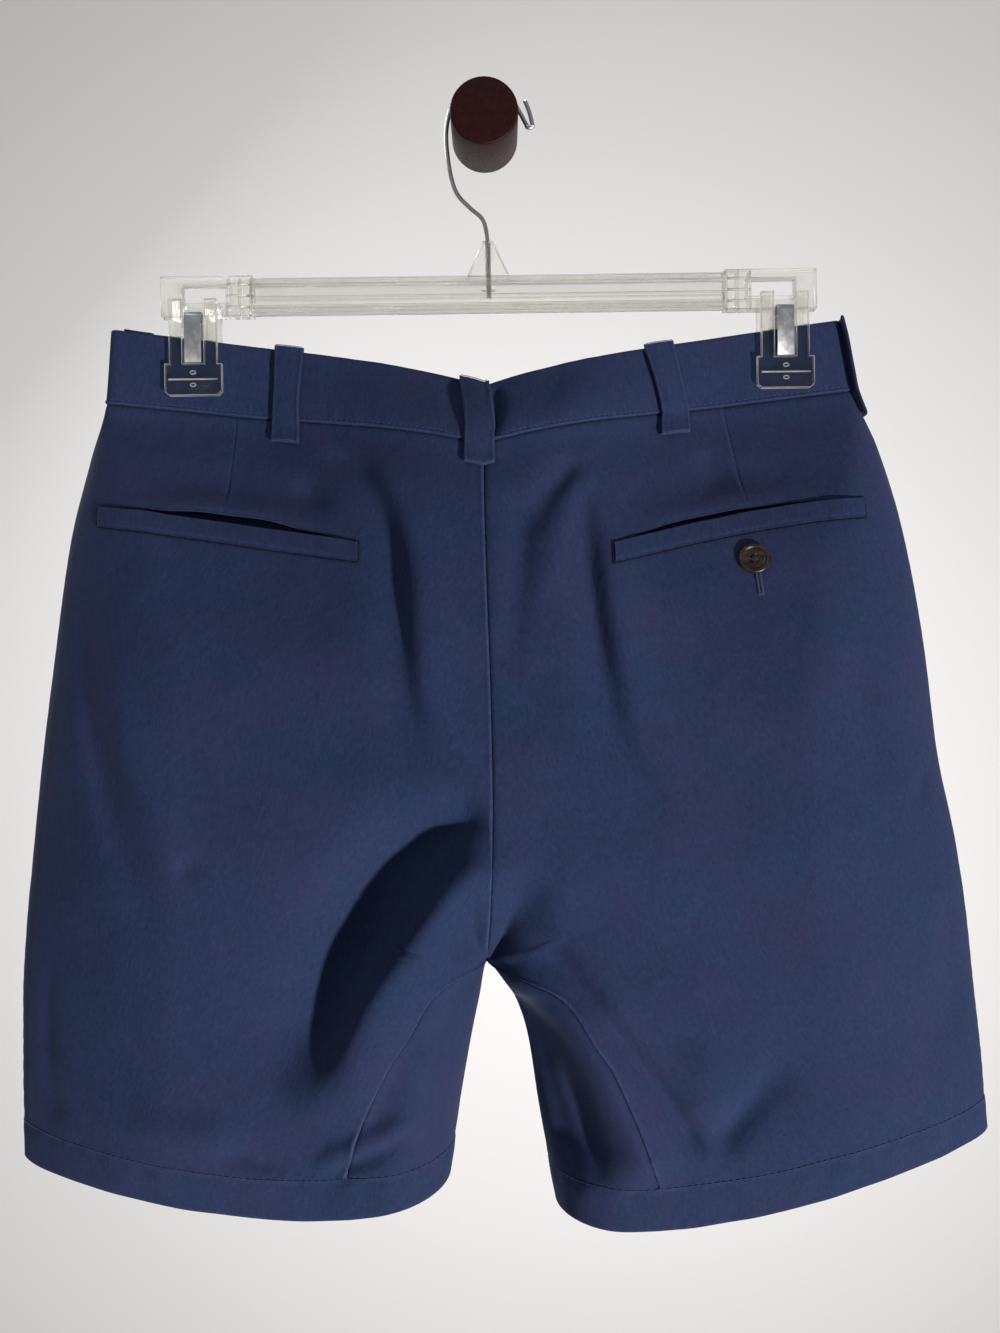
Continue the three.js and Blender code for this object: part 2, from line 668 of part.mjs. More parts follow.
function backPanel(side) {
  return cut(panel(side, backPlaces), [prism(slitOutline(POCKETS[side]), ...BACK_DEPTHS)]);
}

function frontPanel(side) {
  return cut(panel(side, frontPlaces), [prism(cornerOutline(side, 0), ...FRONT_DEPTHS)]);
}

function frontFacing(side) {
  return shared(panel(side, frontPlaces), prism(cornerOutline(side, SEAM_GAP), ...FRONT_DEPTHS));
}

function welt(side) {
  const pocket = POCKETS[side];
  const layout = (s, t) => {
    const edge = weltTop(pocket, s);
    return { side, x: edge.x, z: edge.z - t * WELT_HEIGHT };
  };
  return laidOn(layout, { across: 18, down: 1, thickness: TRIM_WALL, lift: TRIM_LIFT + TRIM_SLACK });
}

function backFacing(side) {
  const layout = (s, t) => {
    const edge = weltTop(POCKETS[side], THREE.MathUtils.lerp(FACING.from, FACING.to, s));
    return { side, x: edge.x, z: edge.z + THREE.MathUtils.lerp(FACING.above, -FACING.below, t) };
  };
  return laidOn(layout, { across: 18, down: 2, thickness: TRIM_WALL, lift: -TRIM_LIFT - TRIM_SLACK });
}

function beltLoop(loop) {
  const lift = BAND_WALL / 2 + SEAM_GAP + LOOP_WALL / 2;
  const points = [];
  const normals = [];
  for (const { v, share, stand } of LOOP_ROWS) {
    const down = clamp01(1 - v / BAND_TOP);
    const row = evenly(-0.5, 0.5, 2).map((s) => {
      const x = loop.x + loop.slant * down + s * LOOP_WIDTH;
      const side = x < 0 ? "left" : "right";
      const w = placeAt(side, x, v, loop.layer);
      const normal = normalAt(side, w, v);
      const seat = v > 0 ? panelPoint(side, w, v) : skin(side, w, v);
      const point = seat.addScaledVector(normal, lift + stand);
      point.z += share * loop.rise;
      return { point, normal };
    });
    points.push(row.map((entry) => entry.point));
    normals.push(row.map((entry) => entry.normal));
  }
  return wall(points, normals, LOOP_WALL);
}

// The place round a side that has the wanted x at a level.
function placeAt(side, x, v, layer) {
  const sign = layer === "back" ? 1 : -1;
  let low = 0;
  let high = 1;
  const from = Math.abs(skin(side, 0, v).x);
  const target = from - Math.abs(x);
  for (let k = 0; k < 40; k += 1) {
    const middle = (low + high) / 2;
    const along = from - Math.abs(skin(side, sign * middle, v).x);
    if (along < target) low = middle;
    else high = middle;
  }
  return sign * low;
}

// The loop at the right side stands on edge round the fold of the band.
function foldLoop() {
  const points = [];
  const normals = [];
  for (const { v, share, stand } of LOOP_ROWS) {
    const fold = skin("right", 0, v);
    const lean = v > 0 ? FOLD_LOOP.lean : 0;
    const x = fold.x + BAND_WALL / 2 + FOLD_LOOP.stand + stand + lean;
    const z = fold.z + share * FOLD_LOOP.rise;
    points.push(evenly(-0.5, 0.5, 2).map((s) => new THREE.Vector3(x, HANGER_Y + s * LOOP_WIDTH, z)));
    normals.push(points[0].map(() => new THREE.Vector3(1, 0, 0)));
  }
  return wall(points, normals, LOOP_WALL);
}

// A sewn button with a raised rim and four holes, its axis along +Z and its back at z = 0.
function buttonGeometry(button) {
  const { radius, thickness } = button;
  const rim = radius * 0.82;
  const dish = radius * 0.68;
  const profile = [
    [0, 0],
    [radius * 0.85, 0],
    [radius, thickness * 0.35],
    [radius, thickness * 0.75],
    [rim, thickness],
    [dish, thickness * 0.6],
    [0, thickness * 0.6],
  ].map(([x, y]) => new THREE.Vector2(x, y));
  const disc = new THREE.LatheGeometry(profile, 24);
  const holes = [0, 1, 2, 3].map((k) => {
    const angle = Math.PI / 4 + (k * Math.PI) / 2;
    const hole = new THREE.CylinderGeometry(button.hole, button.hole, thickness * 3, 8);
    hole.translate(button.hole_off * Math.cos(angle), 0, button.hole_off * Math.sin(angle));
    return hole;
  });
  const geometry = cut(disc, holes);
  geometry.rotateX(Math.PI / 2);
  return geometry;
}

function addButton(name, button, side, w, v, standOff) {
  const normal = normalAt(side, w, v);
  addPart(name, buttonGeometry(button), "button");
  const mesh = group.children[group.children.length - 1];
  mesh.position.copy(skin(side, w, v).addScaledVector(normal, standOff));
  mesh.quaternion.setFromUnitVectors(new THREE.Vector3(0, 0, 1), normal);
}

// The fly lies on the left front with a rounded lower corner, and the zip lies behind it.
function fly() {
  const layout = (s, t) => {
    const beyond = clamp01((1 - s - FLY.straight) / (1 - FLY.straight));
    const low = THREE.MathUtils.lerp(FLY.corner, FLY.low, Math.sqrt(1 - beyond ** 2));
    return { side: "left", x: FLY.centre - (1 - s) * FLY.width, z: THREE.MathUtils.lerp(FLY.top, low, t) };
  };
  return laidOn(layout, { across: 6, down: 8, thickness: TRIM_WALL, lift: TRIM_LIFT, layer: "front" });
}

function zip() {
  const layout = (s, t) => ({
    side: "left",
    x: FLY.centre - (1 - s) * ZIP.width,
    z: THREE.MathUtils.lerp(FLY.top, ZIP.low, t),
  });
  const lift = -TRIM_LIFT - TRIM_SLACK;
  return laidOn(layout, { across: 2, down: 14, thickness: TRIM_WALL, lift, layer: "front" });
}

for (const side of ["left", "right"]) {
  addPart(`back_panel_${side}`, backPanel(side), "cloth");
  addPart(`front_panel_${side}`, frontPanel(side), "cloth");
  addPart(`waistband_${side}`, band(side), "cloth");
  addPart(`hem_${side}`, hem(side), "cloth");
  addPart(`back_welt_${side}`, welt(side), "cloth");
  addPart(`back_facing_${side}`, backFacing(side), "facing");
  addPart(`front_facing_${side}`, frontFacing(side), "cloth");
}
for (const loop of LOOPS) addPart(loop.name, beltLoop(loop), "cloth");
addPart("belt_loop_side_right", foldLoop(), "cloth");
addPart("fly", fly(), "cloth");
addPart("zip", zip(), "zip");

const sewnStand = PANEL_WALL / 2 + SEAM_GAP;
const buttonSpot = locate("right", BUTTON.x, BUTTON.z);
addButton("back_pocket_button", BUTTON, "right", buttonSpot.w, buttonSpot.v, sewnStand);
const waistPlace = placeAt("left", WAIST_BUTTON.x, BAND_TOP / 2, "front");
addButton("waist_button", WAIST_BUTTON, "left", waistPlace, BAND_TOP / 2, BAND_WALL / 2 + SEAM_GAP);

// Hanger

// A box between two x values, two y values and two z values.
function box(xs, ys, zs) {
  const size = [xs, ys, zs].map(([from, to]) => Math.abs(to - from));
  const middle = [xs, ys, zs].map(([from, to]) => (from + to) / 2);
  const geometry = new THREE.BoxGeometry(...size);
  geometry.translate(...middle);
  return geometry;
}

// The hanger's pieces are set out about its stem, where x = 0, and then tilted as one.
const hanger = new THREE.Group();
hanger.position.set(STEM.x, 0, BAR.top);
hanger.rotation.y = -THREE.MathUtils.degToRad(HANGER_TILT);
group.add(hanger);

function addToHanger(name, geometry, look) {
  geometry.translate(0, 0, -BAR.top);
  const mesh = new THREE.Mesh(geometry, new THREE.MeshStandardMaterial(COLOURS[look]));
  mesh.name = name;
  hanger.add(mesh);
}

function hangerBar() {
  const depths = (thick) => [HANGER_Y - thick / 2, HANGER_Y + thick / 2];
  const along = [-BAR.half, BAR.half];
  const web = box(along, depths(BAR.web), [BAR.low, BAR.top]);
  const flanges = [[BAR.low, BAR.low + BAR.rib], [BAR.top - BAR.rib, BAR.top]]
    .map((heights) => box(along, depths(BAR.flange), heights));
  const gusset = prism(
    [
      [-GUSSET.half, BAR.top - 1],
      [GUSSET.half, BAR.top - 1],
      [GUSSET.neck, GUSSET.top],
      [-GUSSET.neck, GUSSET.top],
    ],
    ...depths(GUSSET.thick));
  const ends = [-1, 1].map((way) =>
    box([FRAME_END.from * way, FRAME_END.to * way], depths(FRAME_END.thick), [FRAME_END.low, FRAME_END.top]));
  const windows = [-1, 1].map((way) =>
    box([WINDOW.from * way, WINDOW.to * way], depths(2 * FRAME_END.thick), [WINDOW.low, WINDOW.top]));
  const bore = new THREE.CylinderGeometry(STEM.bore, STEM.bore, STEM.bore_length, 12);
  bore.rotateX(Math.PI / 2);
  bore.translate(0, HANGER_Y, STEM.low_z - SEAM_GAP + STEM.bore_length / 2);
  return cut(joined([web, ...flanges, gusset, ...ends]), [...windows, bore]);
}

// One half of a clip: a jaw pad below two arms that reach up beside the hanger's end.
function clipHalf(way, faceY, outY) {
  const middle = CLIP.x * way;
  const half = CLIP.pad / 2;
  const pad = prism(
    [
      [middle - half, CLIP.low + CLIP.bevel],
      [middle - half + CLIP.bevel, CLIP.low],
      [middle + half - CLIP.bevel, CLIP.low],
      [middle + half, CLIP.low + CLIP.bevel],
      [middle + half, CLIP.top],
      [middle - half, CLIP.top],
    ],
    faceY, outY);
  const arms = [-1, 1].map((hand) => {
    const outer = middle + (hand * CLIP.arms) / 2;
    return box([outer, outer - hand * CLIP.arm], [faceY, outY], [CLIP.top - 1, FRAME_END.low + CLIP.lap]);
  });
  return joined([pad, ...arms]);
}

// A bent steel strip that straddles both halves.
function clipSpring(way) {
  const { wall: steel, top, low, bend, width } = SPRING;
  const backY = JAW_FACES.back - CLIP.wall - SEAM_GAP - steel;
  const frontY = JAW_FACES.front + CLIP.wall + SEAM_GAP + steel;
  const strip = new THREE.Shape();
  strip.moveTo(backY, low);
  strip.absarc(backY + bend, top - bend, bend, Math.PI, Math.PI / 2, true);
  strip.absarc(frontY - bend, top - bend, bend, Math.PI / 2, 0, true);
  strip.lineTo(frontY, low);
  strip.lineTo(frontY - steel, low);
  strip.absarc(frontY - bend, top - bend, bend - steel, 0, Math.PI / 2, false);
  strip.absarc(backY + bend, top - bend, bend - steel, Math.PI / 2, Math.PI, false);
  strip.lineTo(backY + steel, low);
  const geometry = new THREE.ExtrudeGeometry(strip, { depth: width, bevelEnabled: false, curveSegments: 4 });
  geometry.rotateX(Math.PI / 2);
  geometry.rotateZ(Math.PI / 2);
  geometry.translate(CLIP.x * way - width / 2, 0, 0);
  return geometry;
}

function wire(points, steps) {
  const path = new THREE.CatmullRomCurve3(points, false, "centripetal");
  const section = new THREE.Shape();
  section.absarc(0, 0, STEM.wire, 0, Math.PI * 2, false);
  const options = { steps, extrudePath: path, curveSegments: 4, bevelEnabled: false };
  return new THREE.ExtrudeGeometry(section, options);
}

// The hook: up from the bar, over the peg's top, and back on itself at its tip.
function hangerHook() {
  const at = (x, z) => new THREE.Vector3(x, HANGER_Y, z);
  const overPeg = evenly(165, 28, 9).map((degrees) => {
    const angle = THREE.MathUtils.degToRad(degrees);
    return at(HOOK_RADIUS * Math.cos(angle), HOOK_RADIUS * Math.sin(angle));
  });
  const tip = HOOK_TIP;
  const main = [
    at(STEM.x, STEM.low_z),
    at(STEM.x, -76),
    at(1.8, -64),
    at(-0.6, -52),
    at(-7.4, -45.5),
    at(-14.4, -38),
    at(-18, -28),
    at(-20, -15),
    at(-20.4, -4),
    ...overPeg,
    at(tip.x - tip.turn, tip.z),
  ];
  const bend = evenly(180, 360, 4).map((degrees) => {
    const angle = THREE.MathUtils.degToRad(degrees);
    return at(tip.x + tip.turn * Math.cos(angle), tip.z + tip.turn * Math.sin(angle));
  });
  const back = [at(tip.x + tip.turn, tip.z), at(24.2, 6), at(21.8, 12.2)];
  return joined([wire(main, 40), wire(bend, 6), wire(back, 4)]);
}

function wallPeg() {
  const { radius, length, chamfer } = PEG;
  const profile = [[0, 0], [radius, 0], [radius, length - chamfer], [radius - chamfer, length], [0, length]];
  const geometry = new THREE.LatheGeometry(profile.map(([x, y]) => new THREE.Vector2(x, y)), 40);
  geometry.rotateX(Math.PI);
  return geometry;
}

addToHanger("hanger_bar", hangerBar(), "clear");
for (const [way, side] of [[-1, "left"], [1, "right"]]) {
  addToHanger(`clip_${side}_back_jaw`, clipHalf(way, JAW_FACES.back, JAW_FACES.back - CLIP.wall), "clear");
  addToHanger(`clip_${side}_front_jaw`, clipHalf(way, JAW_FACES.front, JAW_FACES.front + CLIP.wall), "clear");
  addToHanger(`clip_${side}_spring`, clipSpring(way), "steel");
}
addPart("hanger_hook", hangerHook(), "steel");
addPart("wall_peg", wallPeg(), "peg");

export default group;
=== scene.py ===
"""Navy chino shorts, seen from the back, on a clear clip hanger and a round wall peg.

Tables and sizes are in millimetres and become metres in the meshes. +Z is up, the wall is the plane
y = 0 and the back of the shorts faces -Y, so their left side is at -X. Every cloth piece is a grid
on one shared skin: a point is found from its side, its place w round that side and its level v.
w is 0 at the outer fold, 1 at the centre back or inner fold and -1 at the centre front, and below
-1 it goes on round the inner fold. v is -0.1 at the waistband's top, 0 at the waist seam and 1 at
the hem's fold.
"""
import math

import bmesh
import bpy
import numpy as np
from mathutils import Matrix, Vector


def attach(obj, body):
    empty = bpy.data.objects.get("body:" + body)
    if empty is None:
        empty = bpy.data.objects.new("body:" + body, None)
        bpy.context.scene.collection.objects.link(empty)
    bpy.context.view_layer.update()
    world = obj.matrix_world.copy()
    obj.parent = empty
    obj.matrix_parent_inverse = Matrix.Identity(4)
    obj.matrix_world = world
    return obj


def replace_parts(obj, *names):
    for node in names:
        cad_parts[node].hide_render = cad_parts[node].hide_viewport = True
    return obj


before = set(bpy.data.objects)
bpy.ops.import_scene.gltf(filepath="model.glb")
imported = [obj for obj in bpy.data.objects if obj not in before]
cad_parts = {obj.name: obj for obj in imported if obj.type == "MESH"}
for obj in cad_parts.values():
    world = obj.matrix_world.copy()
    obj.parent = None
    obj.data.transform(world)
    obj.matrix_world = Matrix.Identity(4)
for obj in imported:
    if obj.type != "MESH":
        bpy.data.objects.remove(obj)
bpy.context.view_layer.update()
MM = 0.001
SIDES = ("left", "right")


# ---------------------------------------------------------------- camera, lights and surroundings

CAMERA_PLACE = (0.0084, -0.640, -0.2912)
CAMERA_LENS = 31.2
FLOOR_Z = -5.2
FLOOR_HALF = 22
WALL_Y = 3.4
WALL_TOP = 3.5
CURVE = 1.2
WALL_COLOUR = (0.80, 0.795, 0.79, 1)
SKY_COLOUR = (0.93, 0.97, 1.0, 1)
SKY_STRENGTH = 0.19
# Place, aim, power, size and colour of each area light.
LIGHTS = {
    "key": ((2.15, -2.55, -2.2), (0, -0.05, -0.29), 163, 0.24, (1.0, 0.965, 0.94)),
    "fill": ((-1.1, -1.9, 2.4), (0, 0, -0.25), 10, 1.4, (0.94, 0.97, 1.0)),
    "rear": ((-2.2, 1.6, 1.6), (0, 0, -0.3), 50, 1.2, (1.0, 0.98, 0.96)),
    "wash": ((0.35, 0.5, -0.9), (0.0, 3.4, 0.25), 76, 3.0, (1.0, 0.97, 0.965)),
}


def add_object(name, data):
    thing = bpy.data.objects.new(name, data)
    bpy.context.scene.collection.objects.link(thing)
    return thing


def make_camera():
    camera = add_object("camera", bpy.data.cameras.new("camera"))
    camera.location = CAMERA_PLACE
    camera.rotation_euler = (math.radians(90), 0, 0)
    camera.data.lens = CAMERA_LENS
    camera.data.sensor_width = 36
    camera.data.clip_start = 0.01
    bpy.context.scene.camera = camera


def make_lights():
    for name, (place, aim, power, size, tint) in LIGHTS.items():
        light = add_object(name, bpy.data.lights.new(name, "AREA"))
        light.data.energy = power
        light.data.size = size
        light.data.color = tint
        light.location = place
        light.rotation_euler = (Vector(aim) - Vector(place)).to_track_quat("-Z", "Y").to_euler()


def make_surroundings():
    """A pale floor that curves up into a pale backdrop, far behind the object."""
    curve = [(WALL_Y - CURVE + CURVE * math.sin(a), FLOOR_Z + CURVE * (1 - math.cos(a)))
             for a in np.linspace(0, math.pi / 2, 24)]
    profile = [(-FLOOR_HALF, FLOOR_Z), (0, FLOOR_Z)] + curve + [(WALL_Y, WALL_TOP)]
    verts = [(x, y, z) for x in (-FLOOR_HALF, FLOOR_HALF) for y, z in profile]
    count = len(profile)
    mesh = bpy.data.meshes.new("floor")
    mesh.from_pydata(verts, [], [(k, k + 1, count + k + 1, count + k) for k in range(count - 1)])
    mesh.shade_smooth()
    floor = add_object("floor", mesh)
    material = bpy.data.materials.new("pale_wall")
    material.use_nodes = True
    shader = material.node_tree.nodes["Principled BSDF"]
    shader.inputs["Base Color"].default_value = WALL_COLOUR
    shader.inputs["Roughness"].default_value = 0.9
    mesh.materials.append(material)
    world = bpy.data.worlds.new("studio")
    world.use_nodes = True
    background = world.node_tree.nodes["Background"]
    background.inputs["Color"].default_value = SKY_COLOUR
    background.inputs["Strength"].default_value = SKY_STRENGTH
    bpy.context.scene.world = world
    bpy.context.scene.view_settings.view_transform = "Standard"


make_camera()
make_lights()
make_surroundings()


# ---------------------------------------------------------------- the skin

def table(names, rows):
    return dict(zip(names.split(), np.array(rows, float).T))


MM_PER_LEVEL = 388
BAND_TOP = -0.1
CROTCH = 0.68
HEM_LEVEL = 0.946
# A section turns through its outer cap up to CAP_SHARE of the way round. A leg's also turns through
# an inner cap, from INNER_CAP_FROM.
CAP_SHARE = 0.25
INNER_CAP_FROM = 0.8
INNER_CAP = 35
# The seat closes into two legs from the level CLOSING_FROM, and last of all near the middle, which
# is the shares beyond UNDER_FROM.
CLOSING_FROM = 0.54
UNDER_FROM = 0.9
# Up to the share LIFT_FROM a row stands higher than the crotch draws it.
LIFT_FROM = 0.72
# How far a hem hangs below the line between its folds, and how that is skewed across it.
HEM_BOW = {"left": 12, "right": 13}
BOW_SKEW = 1.6
DROP_POWER = 3.5
# The clips hold the cloth flat at this distance from the middle.
CLIP_REACH = 138

# mid_y is a section's middle, depth half its depth, cap its outer cap's width and fold how square
# that cap is. By the centre the back swells by bulge and the front moves out by lean.
SECTIONS = table("v mid_y depth cap fold bulge lean", [
    (-0.1, -20, 2.3, 2.6, 1, 14, 6),
    (0.0, -20, 2.6, 3, 1, 34, 9),
    (0.08, -25, 11, 18, 1.15, 31, 2),
    (0.2, -34, 26, 48, 1.3, 20, 0),
    (0.34, -43, 37, 70, 1.3, 11, 0),
    (0.48, -48, 42, 80, 1.3, 5, 0),
    (0.6, -50, 44, 84, 1.3, 2, 0),
    (0.68, -50, 43, 86, 1.3, 0, 0),
    (0.88, -50, 41, 88, 1.3, 0, 0),
    (1.0, -50, 37, 90, 1.3, 0, 0),
])
CENTRE = table("v x back_z front_z", [
    (-0.1, 0, -145, -153),
    (0.0, 0, -179, -191),
    (0.08, 0.5, -209, -220),
    (0.2, 2, -255, -264),
    (0.34, 4, -308, -315),
    (0.48, 5, -361, -364),
    (0.6, 4, -406, -408),
    (0.68, 1.5, -438, -438),
])
CROTCH_LIFT = table("v lift", [(0.48, 0), (0.6, 5), (0.68, 15), (0.78, 10), (0.88, 4), (1.0, 0)])
OUTER = {
    "left": table("v x z", [
        (-0.1, -199, -111), (0.0, -202, -151), (0.08, -208, -182), (0.2, -216, -228),
        (0.34, -220, -283), (0.48, -225, -340), (0.6, -229, -389), (0.68, -232, -421),
        (0.78, -234, -460), (0.88, -234, -497), (1.0, -233, -540),
    ]),
    "right": table("v x z", [
        (-0.1, 189.5, -106), (0.0, 197, -144), (0.08, 208, -175), (0.2, 219, -222),
        (0.34, 226, -278), (0.48, 231, -333), (0.6, 240, -381), (0.68, 245, -414),
        (0.78, 249, -452), (0.88, 253, -488), (1.0, 256, -526),
    ]),
}
INNER = {
    "left": table("v x z", [
        (0.68, 1.5, -438), (0.7, -0.5, -445), (0.73, -2.5, -457), (0.78, -6, -474),
        (0.88, -12, -508), (1.0, -18, -549),
    ]),
    "right": table("v x z", [
        (0.68, 1.5, -438), (0.7, 9, -447), (0.73, 17, -459), (0.78, 23, -477),
        (0.88, 29, -514), (1.0, 38, -562),
    ]),
}
OUTSEAM = table("v w", [(-0.1, 0), (0.0, 0), (0.34, -0.07), (0.68, -0.12), (1.0, -0.24)])
INSEAM = table("v w", [
    (0.68, 1), (0.7, 0.9), (0.73, 0.85), (0.78, 0.822), (0.82, 0.79), (0.88, 0.745), (1.0, 0.69),
])


def clamp01(value):
    return np.clip(value, 0, 1)


def smooth(start, end, value):
    q = clamp01((value - start) / (end - start))
    return q * q * (3 - 2 * q)


def bell(distance, width):
    return np.exp(-(distance / width) ** 2)


def read(rows, column, v):
    """Value of one named column at level v, through a monotone cubic."""
    at, value = rows["v"], rows[column]
    step = np.diff(at)
    slope = np.diff(value) / step
    before, after = slope[:-1], slope[1:]
    both = before * after
    total = np.where(before + after == 0, 1, before + after)
    inner = np.where(both <= 0, 0, 2 * both / total)
    tangent = np.concatenate([slope[:1], inner, slope[-1:]])
    v = np.clip(v, at[0], at[-1])
    i = np.clip(np.searchsorted(at, v, side="right") - 1, 0, len(at) - 2)
    t = (v - at[i]) / step[i]
    rise = tangent[i] * step[i] * t * (1 - t) ** 2
    fall = tangent[i + 1] * step[i] * t * t * (t - 1)
    return value[i] * (1 + 2 * t) * (1 - t) ** 2 + rise + value[i + 1] * t * t * (3 - 2 * t) + fall


def half_section(share, span, section, inner_cap):
    """How far in from the outer fold, and how deep, at a share of the way round."""
    depth, cap, fold = section
    flat_to = INNER_CAP_FROM if inner_cap else 1.0
    outer_turn = np.minimum(share / CAP_SHARE, 1) * np.pi / 2
    flat = clamp01((share - CAP_SHARE) / (flat_to - CAP_SHARE))
    along = np.where(
        share < CAP_SHARE,
        cap * (1 - np.cos(outer_turn) ** fold),
        cap + flat * (span - cap - inner_cap),
    )
    deep = np.where(share < CAP_SHARE, depth * np.sin(outer_turn) ** fold, depth)
    if inner_cap:
        inner_turn = clamp01((share - flat_to) / (1 - flat_to)) * np.pi / 2
        rounding = share > flat_to
        along = np.where(rounding, span - inner_cap + inner_cap * np.sin(inner_turn), along)
        deep = np.where(rounding, depth * np.cos(inner_turn), deep)
    return along, deep


def closing(v, share):
    """How much a section above the crotch has closed towards the two legs."""
    q = clamp01((v - CLOSING_FROM) / (CROTCH - CLOSING_FROM))
    under = 1 - np.sqrt(1 - q * q)
    beside = smooth(CLOSING_FROM, CROTCH, v)
    return beside + (under - beside) * smooth(UNDER_FROM, 1, share)


def folded_in(w):
    """The place of w on one side, from -1 to 1, where w goes on round the inner fold."""
    return np.where(w < -1, w + 2, np.where(w > 1, w - 2, w))


def skin(side, w, v):
    """Points of the skin in millimetres, before any creases, and whether each is on the back."""
    w, v = np.broadcast_arrays(np.asarray(w, float), np.asarray(v, float))
    place = folded_in(w)
    back = place >= 0
    share = np.abs(place)
    leg = v > CROTCH
    outer_x, outer_z = read(OUTER[side], "x", v), read(OUTER[side], "z", v)
    centre_z = np.where(back, read(CENTRE, "back_z", v), read(CENTRE, "front_z", v))
    inner_x = np.where(leg, read(INNER[side], "x", v), read(CENTRE, "x", v))
    inner_z = np.where(leg, read(INNER[side], "z", v), centre_z)
    section = [read(SECTIONS, name, v) for name in ("depth", "cap", "fold")]
    span = np.abs(inner_x - outer_x)
    leg_share = np.where(leg, 1.0, closing(v, share))
    torso = half_section(share, span, section, 0)
    tube = half_section(share, span, section, INNER_CAP)
    along = torso[0] + (tube[0] - torso[0]) * leg_share
    deep = torso[1] + (tube[1] - torso[1]) * leg_share
    f = clamp01(along / span)
    lift = read(CROTCH_LIFT, "lift", v) * (1 - smooth(LIFT_FROM, 1, share))
    bow = HEM_BOW[side] * smooth(CROTCH, 1, v) * np.sin(np.pi * f ** BOW_SKEW)
    x = outer_x + (along if side == "left" else -along)
    z = outer_z + (inner_z + lift - outer_z) * (0.7 * f + 0.3 * f ** DROP_POWER) - bow
    swell = np.cos(clamp01(np.abs(x - inner_x) / CLIP_REACH) * np.pi / 2) ** 2
    mid_y = read(SECTIONS, "mid_y", v)
    front_y = mid_y + deep + read(SECTIONS, "lean", v) * swell
    back_y = mid_y - deep - read(SECTIONS, "bulge", v) * swell * (1 - leg_share)
    return np.stack([x, np.where(back, back_y, front_y), z], -1), back


# ---------------------------------------------------------------- creases

